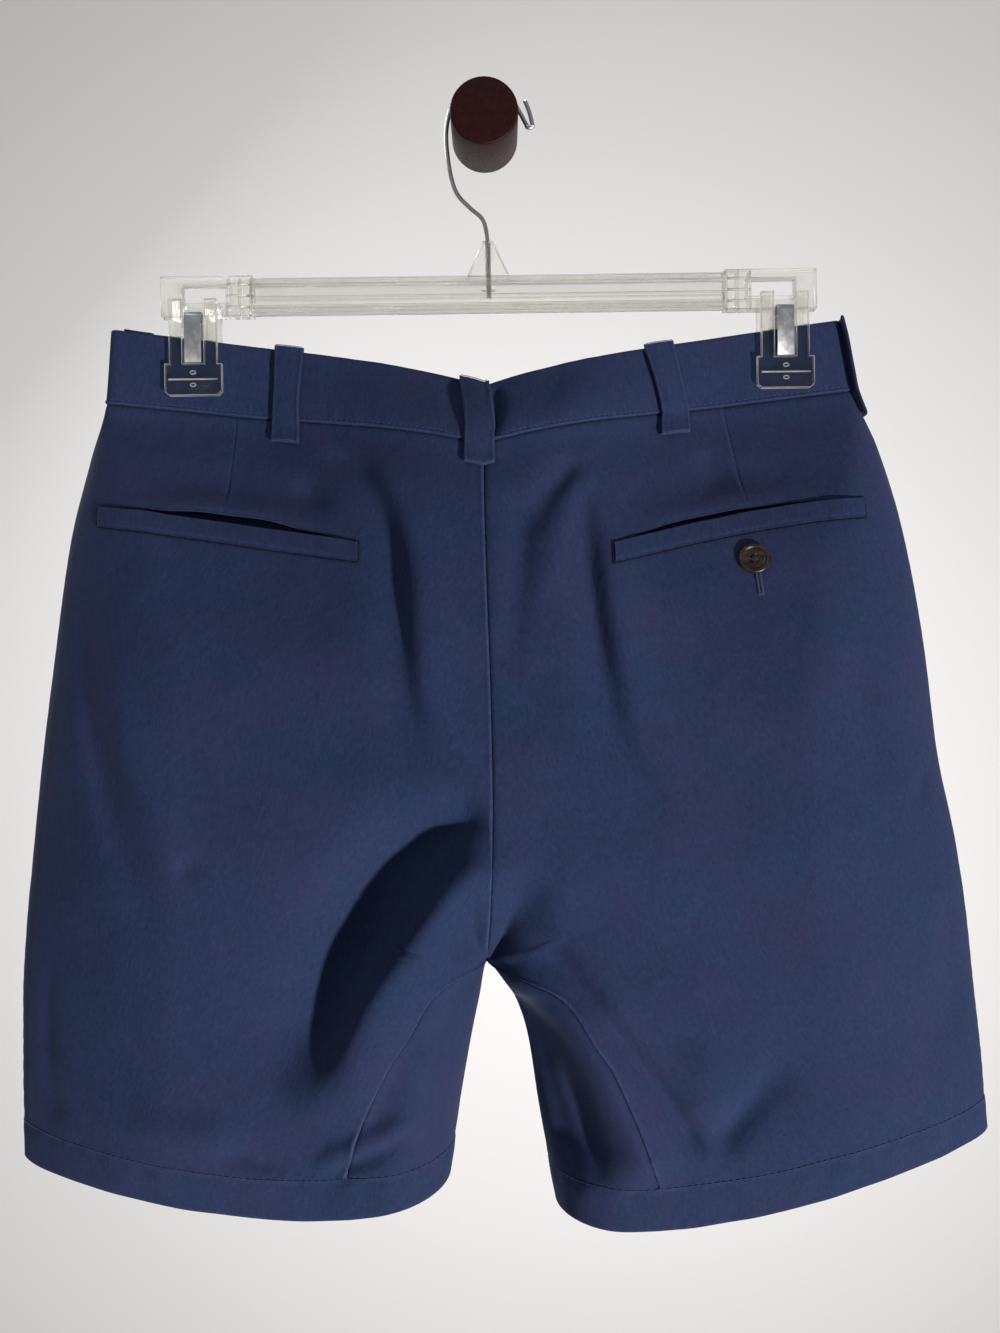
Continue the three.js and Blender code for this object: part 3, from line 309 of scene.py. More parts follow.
# Each crease has how far it takes to fade in and out at its ends, and a row for each point: where it
# is, how far it stands out there (below zero for a trough) and how wide it is on its left and on its
# right, looking along it.
BACK_CREASES = {
    "left leg crest": ((14, 22), [
        (7, -377, 4, 12, 8), (-3, -387, 8, 13, 8), (-14, -399, 12, 16, 8), (-26, -414, 14.5, 19, 8),
        (-39, -432, 15, 21, 9), (-51, -450, 14, 23, 10), (-62, -473, 10, 24, 11), (-76, -495, 5, 24, 13),
        (-86, -518, 2, 20, 14),
    ]),
    "left leg valley": ((12, 36), [
        (4, -358, -5, 8, 10), (-12, -366, -11, 9, 13), (-26, -374, -16, 10, 17), (-41, -389, -18, 11, 21),
        (-55, -411, -18, 11, 22), (-67, -439, -17, 11, 25), (-78, -470, -12, 11, 26),
        (-87, -502, -6, 14, 26),
    ]),
    "left inseam trough": ((12, 24), [
        (-12, -440, -1, 4, 6), (-28, -455, -3, 6, 5), (-37, -475, -4, 8, 6), (-48, -500, -4, 10, 6),
        (-58, -524, -2.5, 10, 7),
    ]),
    "left seat fold": ((44, 50), [
        (-86, -168, -0.8, 7, 9), (-74, -178, -1.6, 7, 10), (-63, -191, -2.4, 6.5, 10),
        (-53.5, -206, -3.3, 6, 10), (-46.5, -223, -4.2, 5.2, 11), (-43, -241, -4.7, 4.7, 11),
        (-41, -258, -4.7, 4.5, 12), (-38.5, -282, -4, 5, 13), (-36.5, -304, -3, 5.5, 13),
        (-31, -328, -1.8, 7, 14), (-22, -352, -0.8, 8, 14),
    ]),
    "left seat crest": ((46, 50), [
        (-72, -168, 0.6, 8, 7), (-61, -179, 1.2, 9, 7), (-51, -192, 2, 10, 6.5), (-42.5, -208, 3, 12, 6),
        (-36, -225, 4, 14, 5.4), (-32.5, -242, 4.6, 15, 5), (-30.5, -260, 4.6, 15, 5),
        (-28, -284, 3.8, 15, 6), (-25, -306, 2.6, 14, 7), (-20, -330, 1.4, 13, 8), (-12, -350, 0.6, 12, 9),
    ]),
    "right seat fold": ((34, 40), [
        (44, -184, -1, 6, 8), (48, -206, -1.6, 5.5, 8), (51, -228, -2.8, 5, 9), (53, -250, -4, 4.5, 10),
        (56, -278, -4.2, 4.5, 10), (60, -300, -3.6, 5, 11), (67, -330, -2.8, 6, 12),
        (80, -354, -1.8, 8, 13), (99, -378, -1, 8, 13),
    ]),
    "right seat crest": ((34, 55), [
        (51, -188, 0.8, 10, 6), (57, -208, 1.3, 12, 5.5), (60, -228, 2.4, 13, 5), (62, -250, 3.8, 14, 5),
        (66, -278, 4.2, 15, 5), (71, -300, 3.6, 15, 6), (79, -332, 2, 14, 8),
    ]),
    "right upper diagonal": ((12, 14), [
        (49, -183, -2.7, 5, 6), (40, -196, -3.6, 6, 7), (28, -212, -2.7, 6, 7), (23, -232, -1.4, 6, 7),
    ]),
    "right lower diagonal": ((12, 20), [
        (53, -190, 2.2, 6, 6), (42, -210, 2.9, 6, 7), (35, -235, 2.2, 7, 8), (30, -262, 1.1, 7, 8),
    ]),
    "left thigh crease": ((20, 40), [
        (-206, -248, -1.4, 8, 7), (-203, -274, -2.6, 9, 7), (-196, -303, -3.4, 10, 7),
        (-189, -330, -3.6, 11, 7), (-175, -373, -3.4, 12, 8), (-160, -406, -2.6, 13, 9),
        (-144, -436, -1.2, 13, 10),
    ]),
    "left thigh swell": ((30, 40), [
        (-186, -272, 1.8, 12, 10), (-174, -318, 2.6, 13, 11), (-158, -362, 2.4, 13, 11),
        (-142, -398, 1.2, 13, 11),
    ]),
    "right thigh band": ((26, 30), [
        (180, -268, -1.4, 9, 10), (185, -300, -3.1, 10, 10), (190, -332, -2.2, 10, 10),
        (196, -362, -0.9, 10, 10),
    ]),
    "right edge crease": ((22, 24), [
        (226, -398, -1.4, 6, 7), (230, -425, -2.9, 6, 7), (232, -455, -2.9, 6, 7), (234, -485, -1.3, 6, 7),
    ]),
    "right edge nick": ((6, 8), [
        (220, -340, -2.5, 4, 5), (217, -350, -2.5, 4, 5), (212, -362, -1.1, 5, 5),
    ]),
    "left edge crease": ((24, 14), [
        (-213, -428, -1.4, 5, 7), (-215, -460, -3.2, 5, 7), (-214, -492, -3.4, 5, 7),
        (-206, -519, -2.2, 5, 6),
    ]),
    "left edge nick": ((8, 10), [
        (-148, -384, -1.8, 5, 5), (-139, -387, -2.2, 5, 5), (-129, -388, -1.1, 5, 5),
    ]),
    "right knee fold": ((30, 16), [
        (22, -414, -1.8, 6, 6), (46, -441, -4, 6, 7), (70, -473, -5, 6, 8), (87, -496, -6, 6, 8),
        (107, -526, -6.2, 6, 8),
    ]),
    "right knee rise": ((30, 16), [
        (158, -470, -1.4, 9, 9), (134, -493, -3.6, 8, 8), (107, -525, -5.4, 7, 7),
    ]),
    "right knee swell": ((26, 18), [
        (92, -462, 2.7, 12, 12), (106, -488, 4.7, 13, 13), (112, -512, 3.6, 12, 12),
    ]),
    "right leg fold": ((12, 24), [
        (8, -436, 3, 10, 6), (20, -446, 7, 14, 7), (37, -458, 10, 26, 8), (50, -475, 11, 32, 9),
        (62, -497, 11, 34, 9), (73, -516, 9, 34, 10), (80, -534, 6, 30, 12), (84, -546, 4, 28, 14),
    ]),
    "right leg strip": ((10, 24), [
        (14, -450, -3, 8, 5), (24, -463, -9, 12, 7), (32, -481, -14, 15, 9), (38, -499, -16, 17, 10),
        (44, -518, -14, 17, 11), (48, -534, -9, 16, 12), (51, -546, -5, 15, 12),
    ]),
    "right strip pleat": ((16, 16), [
        (34, -478, 1, 4, 4), (40, -500, 2.4, 4, 5), (47, -522, 2.4, 4, 5), (52, -542, 1, 4, 5),
    ]),
    "right strip fold": ((12, 14), [
        (40, -484, -1, 4, 4), (47, -505, -2.4, 4, 4), (55, -526, -2.2, 4, 4), (60, -544, -1, 4, 5),
    ]),
    "right crotch fold": ((12, 40), [
        (12, -404, -1, 6, 7), (25, -414, -2.4, 6, 8), (43, -437, -2.6, 7, 9), (58, -460, -1.6, 8, 10),
        (66, -478, -0.8, 8, 10),
    ]),
    "right crotch swell": ((12, 30), [
        (22, -400, 1.2, 8, 9), (40, -416, 2.4, 9, 10), (58, -443, 2, 10, 11), (74, -472, 1, 10, 11),
    ]),
    "left crotch shelf": ((8, 18), [
        (0, -428, 1.5, 4, 8), (-8, -434, 3, 4, 9), (-16, -442, 3.5, 4, 10), (-24, -454, 2.5, 5, 10),
        (-33, -472, 1.5, 6, 10),
    ]),
    "left lower ridge": ((14, 20), [
        (-28, -504, 2.2, 4, 5), (-50, -516, 4, 5, 5), (-69, -524, 4, 5, 5), (-86, -534, 2.2, 5, 6),
    ]),
    "left lower hollow": ((14, 20), [
        (-34, -514, -2.5, 5, 5), (-56, -526, -3.6, 5, 5), (-76, -534, -2.9, 5, 5),
    ]),
    "left hem pucker": ((10, 12), [
        (-128, -521, -2.2, 4, 5), (-112, -526, -3.2, 4, 5), (-92, -532, -2.2, 4, 5),
    ]),
    "left hem drag": ((20, 24), [
        (-175, -505, 1.4, 9, 9), (-140, -514, 2.9, 9, 9), (-105, -512, 2.9, 9, 9),
    ]),
    "left band drag": ((14, 16), [
        (-96, -190, -2.2, 7, 7), (-88, -204, -2.9, 7, 8), (-74, -214, -1.8, 7, 8),
    ]),
    "right band drag": ((12, 16), [
        (112, -176, -1.6, 7, 7), (120, -192, -2.3, 7, 8), (130, -204, -1.3, 7, 7),
    ]),
    "upper left drag": ((14, 20), [
        (-84, -176, -1.8, 5, 7), (-70, -186, -2.7, 5, 7), (-58, -195, -2.2, 5, 7), (-52, -206, -1.1, 5, 7),
    ]),
    "centre right drag": ((14, 30), [
        (14, -200, -1.8, 5, 6), (20, -225, -2.9, 5, 7), (17, -262, -2.2, 6, 7), (13, -300, -1.1, 6, 7),
    ]),
}
FRONT_CREASES = {
    "left whisker": ((12, 40), [
        (-8, -392, -1.9, 9, 10.5), (-40, -384, -2.2, 12, 12), (-90, -362, -1.1, 13.5, 13.5),
    ]),
    "right whisker": ((12, 40), [
        (10, -396, -1.9, 9, 10.5), (46, -384, -2.2, 12, 12), (98, -366, -1.1, 13.5, 13.5),
    ]),
    "left low whisker": ((12, 36), [
        (-9, -414, -1.5, 7.5, 9), (-38, -424, -2.2, 10.5, 12), (-78, -440, -1, 13.5, 13.5),
    ]),
    "right low whisker": ((12, 36), [
        (12, -414, -1.5, 7.5, 9), (40, -426, -2.2, 10.5, 12), (84, -446, -1, 13.5, 13.5),
    ]),
    "left front crease": ((50, 60), [(-116, -250, 1, 4, 4), (-118, -350, 2, 4, 4), (-122, -500, 2, 4, 4)]),
    "right front crease": ((50, 60), [(118, -246, 1, 4, 4), (124, -350, 2, 4, 4), (136, -500, 2, 4, 4)]),
    "left hip drag": ((24, 60), [
        (-150, -200, -1.5, 15, 15), (-140, -260, -2.2, 16.5, 16.5), (-120, -330, -1.1, 18, 18),
    ]),
    "right hip drag": ((24, 60), [
        (146, -196, -1.5, 15, 15), (140, -256, -2.2, 16.5, 16.5), (126, -326, -1.1, 18, 18),
    ]),
    "left knee drag": ((30, 30), [
        (-200, -440, -1.2, 13.5, 13.5), (-150, -470, -2, 15, 15), (-90, -510, -1.2, 13.5, 13.5),
    ]),
    "right knee drag": ((30, 30), [
        (214, -430, -1.2, 13.5, 13.5), (160, -462, -2, 15, 15), (96, -506, -1.2, 13.5, 13.5),
    ]),
}
BAND_CREASES = {
    "beside the centre loop": ((4, 6), [
        (5.5, -146, -2, 2.6, 3.4), (8, -155, -4.5, 2.6, 3.6), (7, -166, -4.5, 2.6, 3.6),
        (5, -178, -2, 2.4, 3.4),
    ]),
    "left of the centre loop": ((4, 8), [
        (-21, -142, -1, 4, 4), (-17, -158, -1.4, 4, 4), (-16, -174, -0.8, 4, 4),
    ]),
    "right band hollow": ((6, 10), [
        (40, -132, -0.8, 8, 8), (34, -150, -1.4, 8, 8), (26, -168, -0.8, 8, 8),
    ]),
}
# Seed, longest wave and height of each soft waviness.
BAND_RIPPLES = [(5, 60, 0.25)]
BACK_RIPPLES = [(3, 110, 1.4), (8, 42, 0.3)]
FRONT_RIPPLES = [(4, 120, 1.4), (9, 42, 0.3)]
# A crease ends this many widths away, and its two widths blend this close to its line.
BELL_REACH = 3
HAND_BLEND = 3
# The cloth is calm within these places of the side and levels of the band, and below the crotch.
SIDE_CALM = 0.12
BAND_CALM = 0.05
CROTCH_CALM = 0.72


def spline(rows, pieces=5):
    """Rows of numbers, with pieces - 1 more between each two, on a Catmull-Rom curve."""
    rows = np.array(rows, float)
    ends = np.vstack([2 * rows[0] - rows[1], rows, 2 * rows[-1] - rows[-2]])
    out = []
    for k in range(len(rows) - 1):
        a, b, c, d = ends[k:k + 4]
        for t in np.arange(pieces) / pieces:
            out.append(0.5 * (2 * b + (c - a) * t + (2 * a - 5 * b + 4 * c - d) * t * t
                              + (3 * b - a - 3 * c + d) * t ** 3))
    return np.array(out + [rows[-1]])


def curved(creases):
    return [(fades, spline(rows)) for fades, rows in creases.values()]


BACK_LINES, FRONT_LINES, BAND_LINES = curved(BACK_CREASES), curved(FRONT_CREASES), curved(BAND_CREASES)


def lengths(points):
    """Distance of each point along a path, from its first."""
    return np.concatenate([[0], np.cumsum(np.linalg.norm(np.diff(points, axis=0), axis=1))])


def crease_height(lines, x, z):
    """How far the creases lift the points x, z out of the skin."""
    total = np.zeros(x.shape)
    for (fade_in, fade_out), line in lines:
        step = np.hypot(*np.diff(line[:, :2], axis=0).T)
        run = np.concatenate([[0], np.cumsum(step)])
        reach = BELL_REACH * line[:, 3:].max()
        low, high = line[:, :2].min(0) - reach, line[:, :2].max(0) + reach
        near = (x > low[0]) & (x < high[0]) & (z > low[1]) & (z < high[1])
        if not near.any():
            continue
        px, pz = x[near], z[near]
        gap = np.full(px.shape, np.inf)
        found = np.zeros((5,) + px.shape)
        for k in range(len(line) - 1):
            (ax, az), (dx, dz) = line[k, :2], line[k + 1, :2] - line[k, :2]
            t = clamp01(((px - ax) * dx + (pz - az) * dz) / step[k] ** 2)
            off_x, off_z = px - ax - t * dx, pz - az - t * dz
            distance = np.hypot(off_x, off_z)
            closer = distance < gap
            gap = np.where(closer, distance, gap)
            height, left, right = (line[k, c] + t * (line[k + 1, c] - line[k, c]) for c in (2, 3, 4))
            hand = (off_x * dz - off_z * dx) / step[k]
            values = (height, left, right, hand, run[k] + t * step[k])
            found = np.where(closer, np.stack(values), found)
        height, left, right, hand, along = found
        width = left + (right - left) * smooth(-HAND_BLEND, HAND_BLEND, hand)
        ends = smooth(0, fade_in, along) * smooth(0, fade_out, run[-1] - along)
        total[near] += height * ends * bell(gap, width)
    return total


def ripple(x, z, seed, longest, height):
    """A soft uneven waviness: cosines of several lengths and directions."""
    draw = np.random.default_rng(seed)
    total = np.zeros(np.shape(x))
    for _ in range(9):
        length = longest * draw.uniform(0.35, 1.0)
        angle = draw.uniform(0, np.pi)
        phase = draw.uniform(0, 2 * np.pi)
        wave = np.cos((x * np.cos(angle) + z * np.sin(angle)) * 2 * np.pi / length + phase)
        total += wave * length / longest
    return total * height / 3


def relief(lines, ripples, x, z):
    return crease_height(lines, x, z) + sum(ripple(x, z, *numbers) for numbers in ripples)


def creased(side, w, v, band=False):
    """The skin with its creases, which stand out along Y."""
    points, back = skin(side, w, v)
    x, z = points[..., 0], points[..., 2]
    if band:
        height = np.where(back, crease_height(BAND_LINES, x, z), 0) + ripple(x, z, *BAND_RIPPLES[0])
    else:
        share = np.abs(folded_in(w))
        calm = smooth(0, SIDE_CALM, share) * smooth(0, BAND_CALM, v)
        calm = calm * (1 - smooth(CROTCH, CROTCH_CALM, v) * smooth(-0.05, 0, share - 1))
        height = calm * np.where(back, relief(BACK_LINES, BACK_RIPPLES, x, z),
                                 relief(FRONT_LINES, FRONT_RIPPLES, x, z))
    points[..., 1] += np.where(back, -height, height)
    return points


NORMAL_STEP = 0.003


def unit(vectors):
    return vectors / np.maximum(np.linalg.norm(vectors, axis=-1, keepdims=True), 1e-9)


def surface(side, w, v, band=False):
    """Creased points, their outward normals and the direction down the cloth, in millimetres."""
    w, v = np.broadcast_arrays(np.asarray(w, float), np.asarray(v, float))
    seamed = v <= CROTCH
    central = np.abs(w) > UNDER_FROM
    w_low = np.where(seamed, np.maximum(w - NORMAL_STEP, -1), w - NORMAL_STEP)
    w_high = np.where(seamed, np.minimum(w + NORMAL_STEP, 1), w + NORMAL_STEP)
    v_low = np.maximum(v - NORMAL_STEP, BAND_TOP if band else 0)
    v_high = np.minimum(v + NORMAL_STEP, 0 if band else 1)
    v_low = np.where(seamed | ~central, v_low, np.maximum(v_low, CROTCH + 1e-6))
    v_high = np.where(seamed & central, np.minimum(v_high, CROTCH), v_high)
    across = creased(side, w_high, v, band) - creased(side, w_low, v, band)
    down = creased(side, w, v_high, band) - creased(side, w, v_low, band)
    normal = np.cross(across, down)
    if side == "left":
        normal = -normal
    return creased(side, w, v, band), unit(normal), unit(down)


def seam_surface(side, w, v, band=False):
    """The surface, with normals that match the other side's on the centre seam."""
    points, normal, down = surface(side, w, v, band)
    on_centre = (np.abs(w) > 0.9995) & (v <= CROTCH)
    normal[..., 0] = np.where(on_centre, 0, normal[..., 0])
    return points, unit(normal), down


def locate(side, x, z, front=False):
    """The place and level that have the wanted x and z, on the back or the front."""
    x, z = np.broadcast_arrays(np.asarray(x, float), np.asarray(z, float))
    sign = -1 if front else 1
    w, v = np.full(x.shape, 0.5), np.full(x.shape, 0.3)
    for _ in range(24):
        here = skin(side, sign * w, v)[0]
        by_w = (skin(side, sign * (w + NORMAL_STEP), v)[0] - here) / NORMAL_STEP
        by_v = (skin(side, sign * w, v + NORMAL_STEP)[0] - here) / NORMAL_STEP
        scale = by_w[..., 0] * by_v[..., 2] - by_v[..., 0] * by_w[..., 2]
        gap_x, gap_z = x - here[..., 0], z - here[..., 2]
        w = np.clip(w + (gap_x * by_v[..., 2] - by_v[..., 0] * gap_z) / scale, 0.005, 0.995)
        v = np.clip(v + (by_w[..., 0] * gap_z - gap_x * by_w[..., 2]) / scale, BAND_TOP, 0.99)
    return sign * w, v


def place_at(side, x, v, front=False):
    """The place that has the wanted x at a level."""
    shares = np.linspace(0, 1, 400)
    sign = -1 if front else 1
    line = np.abs(skin(side, sign * shares, np.full(400, v))[0][:, 0])
    return sign * np.interp(-np.abs(x), -line, shares)


def patch(side, x, z, lift, front=False):
    """Points and normals on a side's surface at places x, z, lifted out."""
    w, v = locate(side, x, z, front)
    points, normals, _ = surface(side, w, v)
    return points + normals * np.asarray(lift)[..., None], normals


# ---------------------------------------------------------------- meshes

def quads_of(rows, columns, closed=False):
    ends = columns if closed else columns - 1
    i, j = np.meshgrid(np.arange(rows - 1), np.arange(ends), indexing="ij")
    k = (j + 1) % columns
    return np.stack([i * columns + j, i * columns + k, (i + 1) * columns + k, (i + 1) * columns + j], -1)


def grid_faces(rows, columns, closed=False):
    return quads_of(rows, columns, closed).reshape(-1, 4).tolist()


def ride(piece):
    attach(piece, "root")
    return piece


def add_piece(name, points, faces, slot, material, flip=False, flat=None, wear_and_painted_light=None, shell=0):
    """A named piece from points in millimetres. flat holds its places on the flat cloth, as UVs, and the
    wear values say how much lighter (above 0: worn, partly a painted highlight) or darker (below 0: painted
    shade) each point is painted."""
    points = np.asarray(points, float).reshape(-1, 3)
    used = sorted({index for face in faces for index in face})
    order = {index: k for k, index in enumerate(used)}
    way = -1 if flip else 1
    mesh = bpy.data.meshes.new(name)
    mesh.from_pydata(points[used] * MM, [], [[order[index] for index in face][::way] for face in faces])
    mesh.shade_smooth()
    if flat is not None:
        layer = mesh.uv_layers.new(name="flat")
        corners = np.empty(len(mesh.loops), dtype=np.int32)
        mesh.loops.foreach_get("vertex_index", corners)
        layer.data.foreach_set("uv", (np.asarray(flat).reshape(-1, 2)[used][corners] * MM).ravel())
    shade = np.zeros(len(points)) if wear_and_painted_light is None else np.asarray(wear_and_painted_light, float).ravel()
    attribute = mesh.attributes.new("wear_and_painted_light", "FLOAT", "POINT")
    attribute.data.foreach_set("value", shade[used].astype(np.float32))
    mesh.materials.append(material)
    piece = add_object(name, mesh)
    if shell:
        thickness = piece.modifiers.new("thickness", "SOLIDIFY")
        thickness.thickness = shell * MM
        thickness.offset = -1
    return ride(piece)


def tube(points, radius, sides=8):
    """Points and faces of a round tube along a path, with flat ends."""
    points = np.asarray(points, float)
    along = unit(np.gradient(points, axis=0))
    across = [unit(np.cross(along[0], (0.31, 0.62, -0.72)))]
    for direction in along[1:]:
        across.append(unit(across[-1] - direction * (across[-1] @ direction)))
    across = np.array(across)
    other = np.cross(along, across)
    angles = np.arange(sides) * 2 * np.pi / sides
    ring = np.cos(angles)[None, :, None] * across[:, None] + np.sin(angles)[None, :, None] * other[:, None]
    verts = (points[:, None] + radius * ring).reshape(-1, 3)
    last = (len(points) - 1) * sides
    ends = [list(range(sides)), [last + k for k in range(sides)][::-1]]
    return verts, [face[::-1] for face in grid_faces(len(points), sides, closed=True) + ends]


def joined(parts):
    """One list of points and of faces from several."""
    verts, faces, first = [], [], 0
    for part_verts, part_faces in parts:
        verts.append(part_verts)
        faces += [[index + first for index in face] for face in part_faces]
        first += len(part_verts)
    return np.vstack(verts), faces


# Heights of a stitch above the cloth, in radii, at shares of its length.
STITCH_SHARES = np.array([0.0, 0.25, 0.5, 0.75, 1.0])
STITCH_RISE = np.array([-1.1, 0.2, 0.45, 0.2, -1.1])


def stitch_row(path, normals, length=2.3, gap=0.8, radius=0.2):
    """Small sunk tubes along a line on the cloth, one for each stitch."""
    run = lengths(path)
    count = max(1, int(run[-1] / (length + gap)))
    pitch = run[-1] / count
    parts = []
    for k in range(count):
        s = k * pitch + gap / 2 + STITCH_SHARES * (pitch - gap)
        spots, normal = (np.stack([np.interp(s, run, rows[:, c]) for c in range(3)], -1)
                         for rows in (path, normals))
        parts.append(tube(spots + normal * (radius * STITCH_RISE)[:, None], radius, sides=6))
    return parts


# Distances from a seam at which the grids have their first columns and rows.
EDGE = np.array([0, 0.4, 0.9, 1.5, 2.3, 3.4, 5.0])
RIM = np.array([0, 0.1, 0.3, 0.6, 1.0, 1.6, 2.4])
LINE = np.array([-3.4, -2.2, -1.3, -0.7, -0.3, 0, 0.3, 0.7, 1.3, 2.2, 3.4])


def spaced(total, step, near=EDGE):
    """Distances from 0 to total a step apart, and closer by both ends."""
    near = near[near < total / 2 - 0.2]
    count = max(1, int((total - 2 * near[-1]) / step))
    between = np.linspace(near[-1], total - near[-1], count + 2)[1:-1]
    return np.concatenate([near, between, total - near[::-1]])


def from_ends(distances):
    """Distance from the nearer end of a line of distances."""
    return np.minimum(distances, distances[-1] - distances)


def slab(points, normals, across, down, thickness, rim):
    """A thin closed body with rounded edges about a grid of points, its front face first."""
    rows, columns = points.shape[:2]
    from_side, from_end = from_ends(across)[None, :], from_ends(down)[:, None]
    inset = clamp01(np.minimum(from_side, from_end) / rim)
    half = normals * (thickness / 2 * np.sqrt(1 - (1 - inset) ** 2))[..., None]
    verts = np.concatenate([(points + half).reshape(-1, 3), (points - half).reshape(-1, 3)])
    count = rows * columns
    index = np.arange(count).reshape(rows, columns)
    edge = (from_side + 0 * from_end == 0) | (from_end + 0 * from_side == 0)
    back_index = np.where(edge, index, index + count)
    quads = quads_of(rows, columns).reshape(-1, 4)
    return verts, quads.tolist() + back_index.ravel()[quads][:, ::-1].tolist()


def orient(piece):
    """Turns a closed piece's faces outwards."""
    mesh = bmesh.new()
    mesh.from_mesh(piece.data)
    bmesh.ops.recalc_face_normals(mesh, faces=mesh.faces)
    mesh.to_mesh(piece.data)
    mesh.free()


def slab_piece(name, points, normals, across, down, thickness, rim, wear_and_painted_light=0, slot="cloth", material=None):
    """A slab as a piece of cloth, with the painted wear and shade of its front face on both."""
    verts, faces = slab(points, normals, across, down, thickness, rim)
    flat = np.stack(np.meshgrid(across, -down), -1)
    wear_and_painted_light = wear_and_painted_light + 0 * points[..., 0]
    piece = add_piece(name, verts, faces, slot, material or CLOTH,
                      flat=np.concatenate([flat, flat]), wear_and_painted_light=np.concatenate([wear_and_painted_light, wear_and_painted_light]))
    orient(piece)
    return piece


# ---------------------------------------------------------------- materials

class Nodes:
    """A material's node tree, with short ways to add and link nodes."""

    def __init__(self, name):
        self.material = bpy.data.materials.new(name)
        self.material.use_nodes = True
        self.tree = self.material.node_tree
        self.shader = self.tree.nodes["Principled BSDF"]
        self.place = self.add("ShaderNodeTexCoord").outputs["Object"]

    def add(self, kind, links=None, **settings):
        node = self.tree.nodes.new(kind)
        for key, value in settings.items():
            setattr(node, key, value)
        for socket, value in (links or {}).items():
            self.put(node.inputs[socket], value)
        return node

    def put(self, socket, value):
        if isinstance(value, bpy.types.NodeSocket):
            self.tree.links.new(value, socket)
        else:
            socket.default_value = value

    def set(self, **values):
        for name, value in values.items():
            self.put(self.shader.inputs[name.replace("_", " ")], value)

    def mapped(self, vector, **turns):
        return self.add("ShaderNodeMapping", {"Vector": vector, **turns}).outputs["Vector"]

    def noise(self, vector, scale, detail=2.0, roughness=0.5):
        links = {"Vector": vector, "Scale": scale, "Detail": detail, "Roughness": roughness}
        return self.add("ShaderNodeTexNoise", links).outputs["Fac"]

    def span(self, value, low, high, to_low=0.0, to_high=1.0):
        links = {"Value": value, "From Min": low, "From Max": high, "To Min": to_low, "To Max": to_high}
        return self.add("ShaderNodeMapRange", links).outputs["Result"]

    def mix(self, factor, first, second):
        node = self.add("ShaderNodeMix", {0: factor, 6: first, 7: second}, data_type="RGBA")
        return node.outputs[2]

    def math(self, operation, first, second=0.0):
        return self.add("ShaderNodeMath", {0: first, 1: second}, operation=operation).outputs[0]

    def bump(self, height, distance, strength=1.0, normal=None):
        links = {"Height": height, "Distance": distance, "Strength": strength}
        if normal is not None:
            links["Normal"] = normal
        return self.add("ShaderNodeBump", links).outputs["Normal"]


def colour(red, green, blue):
    """A colour from its screen values, 0 to 255, as the linear values that a socket takes."""
    def linear(value):
        value /= 255
        return value / 12.92 if value <= 0.04045 else ((value + 0.055) / 1.055) ** 2.4
    return (linear(red), linear(green), linear(blue), 1)


def darker(shade, share):
    return tuple(share * c for c in shade[:3]) + (1,)


def twill(name, body, purple, teal, faded_and_highlight, deep):
    """Brushed cotton twill: fine diagonal ribs, slubs along the warp, a soft uneven dye, small
    rumples, and seams that have faded at their crests, with a painted highlight there too. Where the
    wear values fall below zero, a painted shade colour darkens seams, ditches and edges."""
    n = Nodes(name)
    flat = n.add("ShaderNodeUVMap", uv_map="flat").outputs["UV"]
    slub = n.noise(n.mapped(flat, Scale=(1, 0.16, 1)), 900, 3.0, 0.65)
    fleck = n.noise(n.place, 480, 4.0, 0.7)
    tone = n.mix(n.span(n.noise(n.place, 17, 3.0, 0.6), 0.42, 0.66, 0, 0.5), body, purple)
    tone = n.mix(n.span(n.noise(n.place, 31, 3.0, 0.6), 0.46, 0.7, 0, 0.6), tone, teal)
    wear_and_painted_light = n.add("ShaderNodeAttribute", attribute_name="wear_and_painted_light").outputs["Fac"]
    uneven = n.math("MULTIPLY", wear_and_painted_light, n.span(fleck, 0.35, 0.65, 0.3, 1.3))
    # Above zero the wear values mix in the faded colour: worn crests with a painted highlight.
    tone = n.mix(n.span(uneven, 0.0, 1.0), tone, faded_and_highlight)
    # Below zero they mix in deep, a painted shade colour.
    tone = n.mix(n.span(n.math("MULTIPLY", wear_and_painted_light, -1.0), 0.0, 1.0), tone, deep)
    ribs = n.add("ShaderNodeTexWave", {
        "Vector": n.mapped(flat, Rotation=(0, 0, math.radians(58))),
        "Scale": 560, "Distortion": 1.4, "Detail": 2.0, "Detail Scale": 2.0,
    }).outputs["Fac"]
    light = n.math("ADD", n.span(slub, 0.3, 0.7, -0.5, 0.5), n.span(fleck, 0.3, 0.7, -0.5, 0.5))
    light = n.math("ADD", light, n.span(ribs, 0, 1, -0.3, 0.3))
    tone = n.mix(n.span(light, -0.65, 1.05, 0, 0.33), tone, faded_and_highlight)
    n.set(Base_Color=tone, Roughness=n.span(slub, 0.3, 0.7, 0.82, 0.96), Specular_IOR_Level=0.18)
    n.set(Sheen_Weight=0.1, Sheen_Roughness=0.45, Sheen_Tint=(0.55, 0.65, 1.0, 1))
    soft = n.bump(n.noise(n.place, 95, 3.0, 0.55), 0.0011, 0.5)
    weave = n.math("ADD", n.math("MULTIPLY", ribs, 0.5), n.math("MULTIPLY", slub, 0.9))
    n.set(Normal=n.bump(weave, 0.00022, 0.6, soft))
    return n.material


def thread(name, shade):
    """Twisted sewing thread."""
    n = Nodes(name)
    twist = n.noise(n.place, 2600, 1.0)
    n.set(Base_Color=n.mix(n.span(twist, 0.35, 0.65), shade, darker(shade, 0.55)))
    n.set(Roughness=0.7, Sheen_Weight=0.2, Normal=n.bump(twist, 0.0001, 0.5))
    return n.material


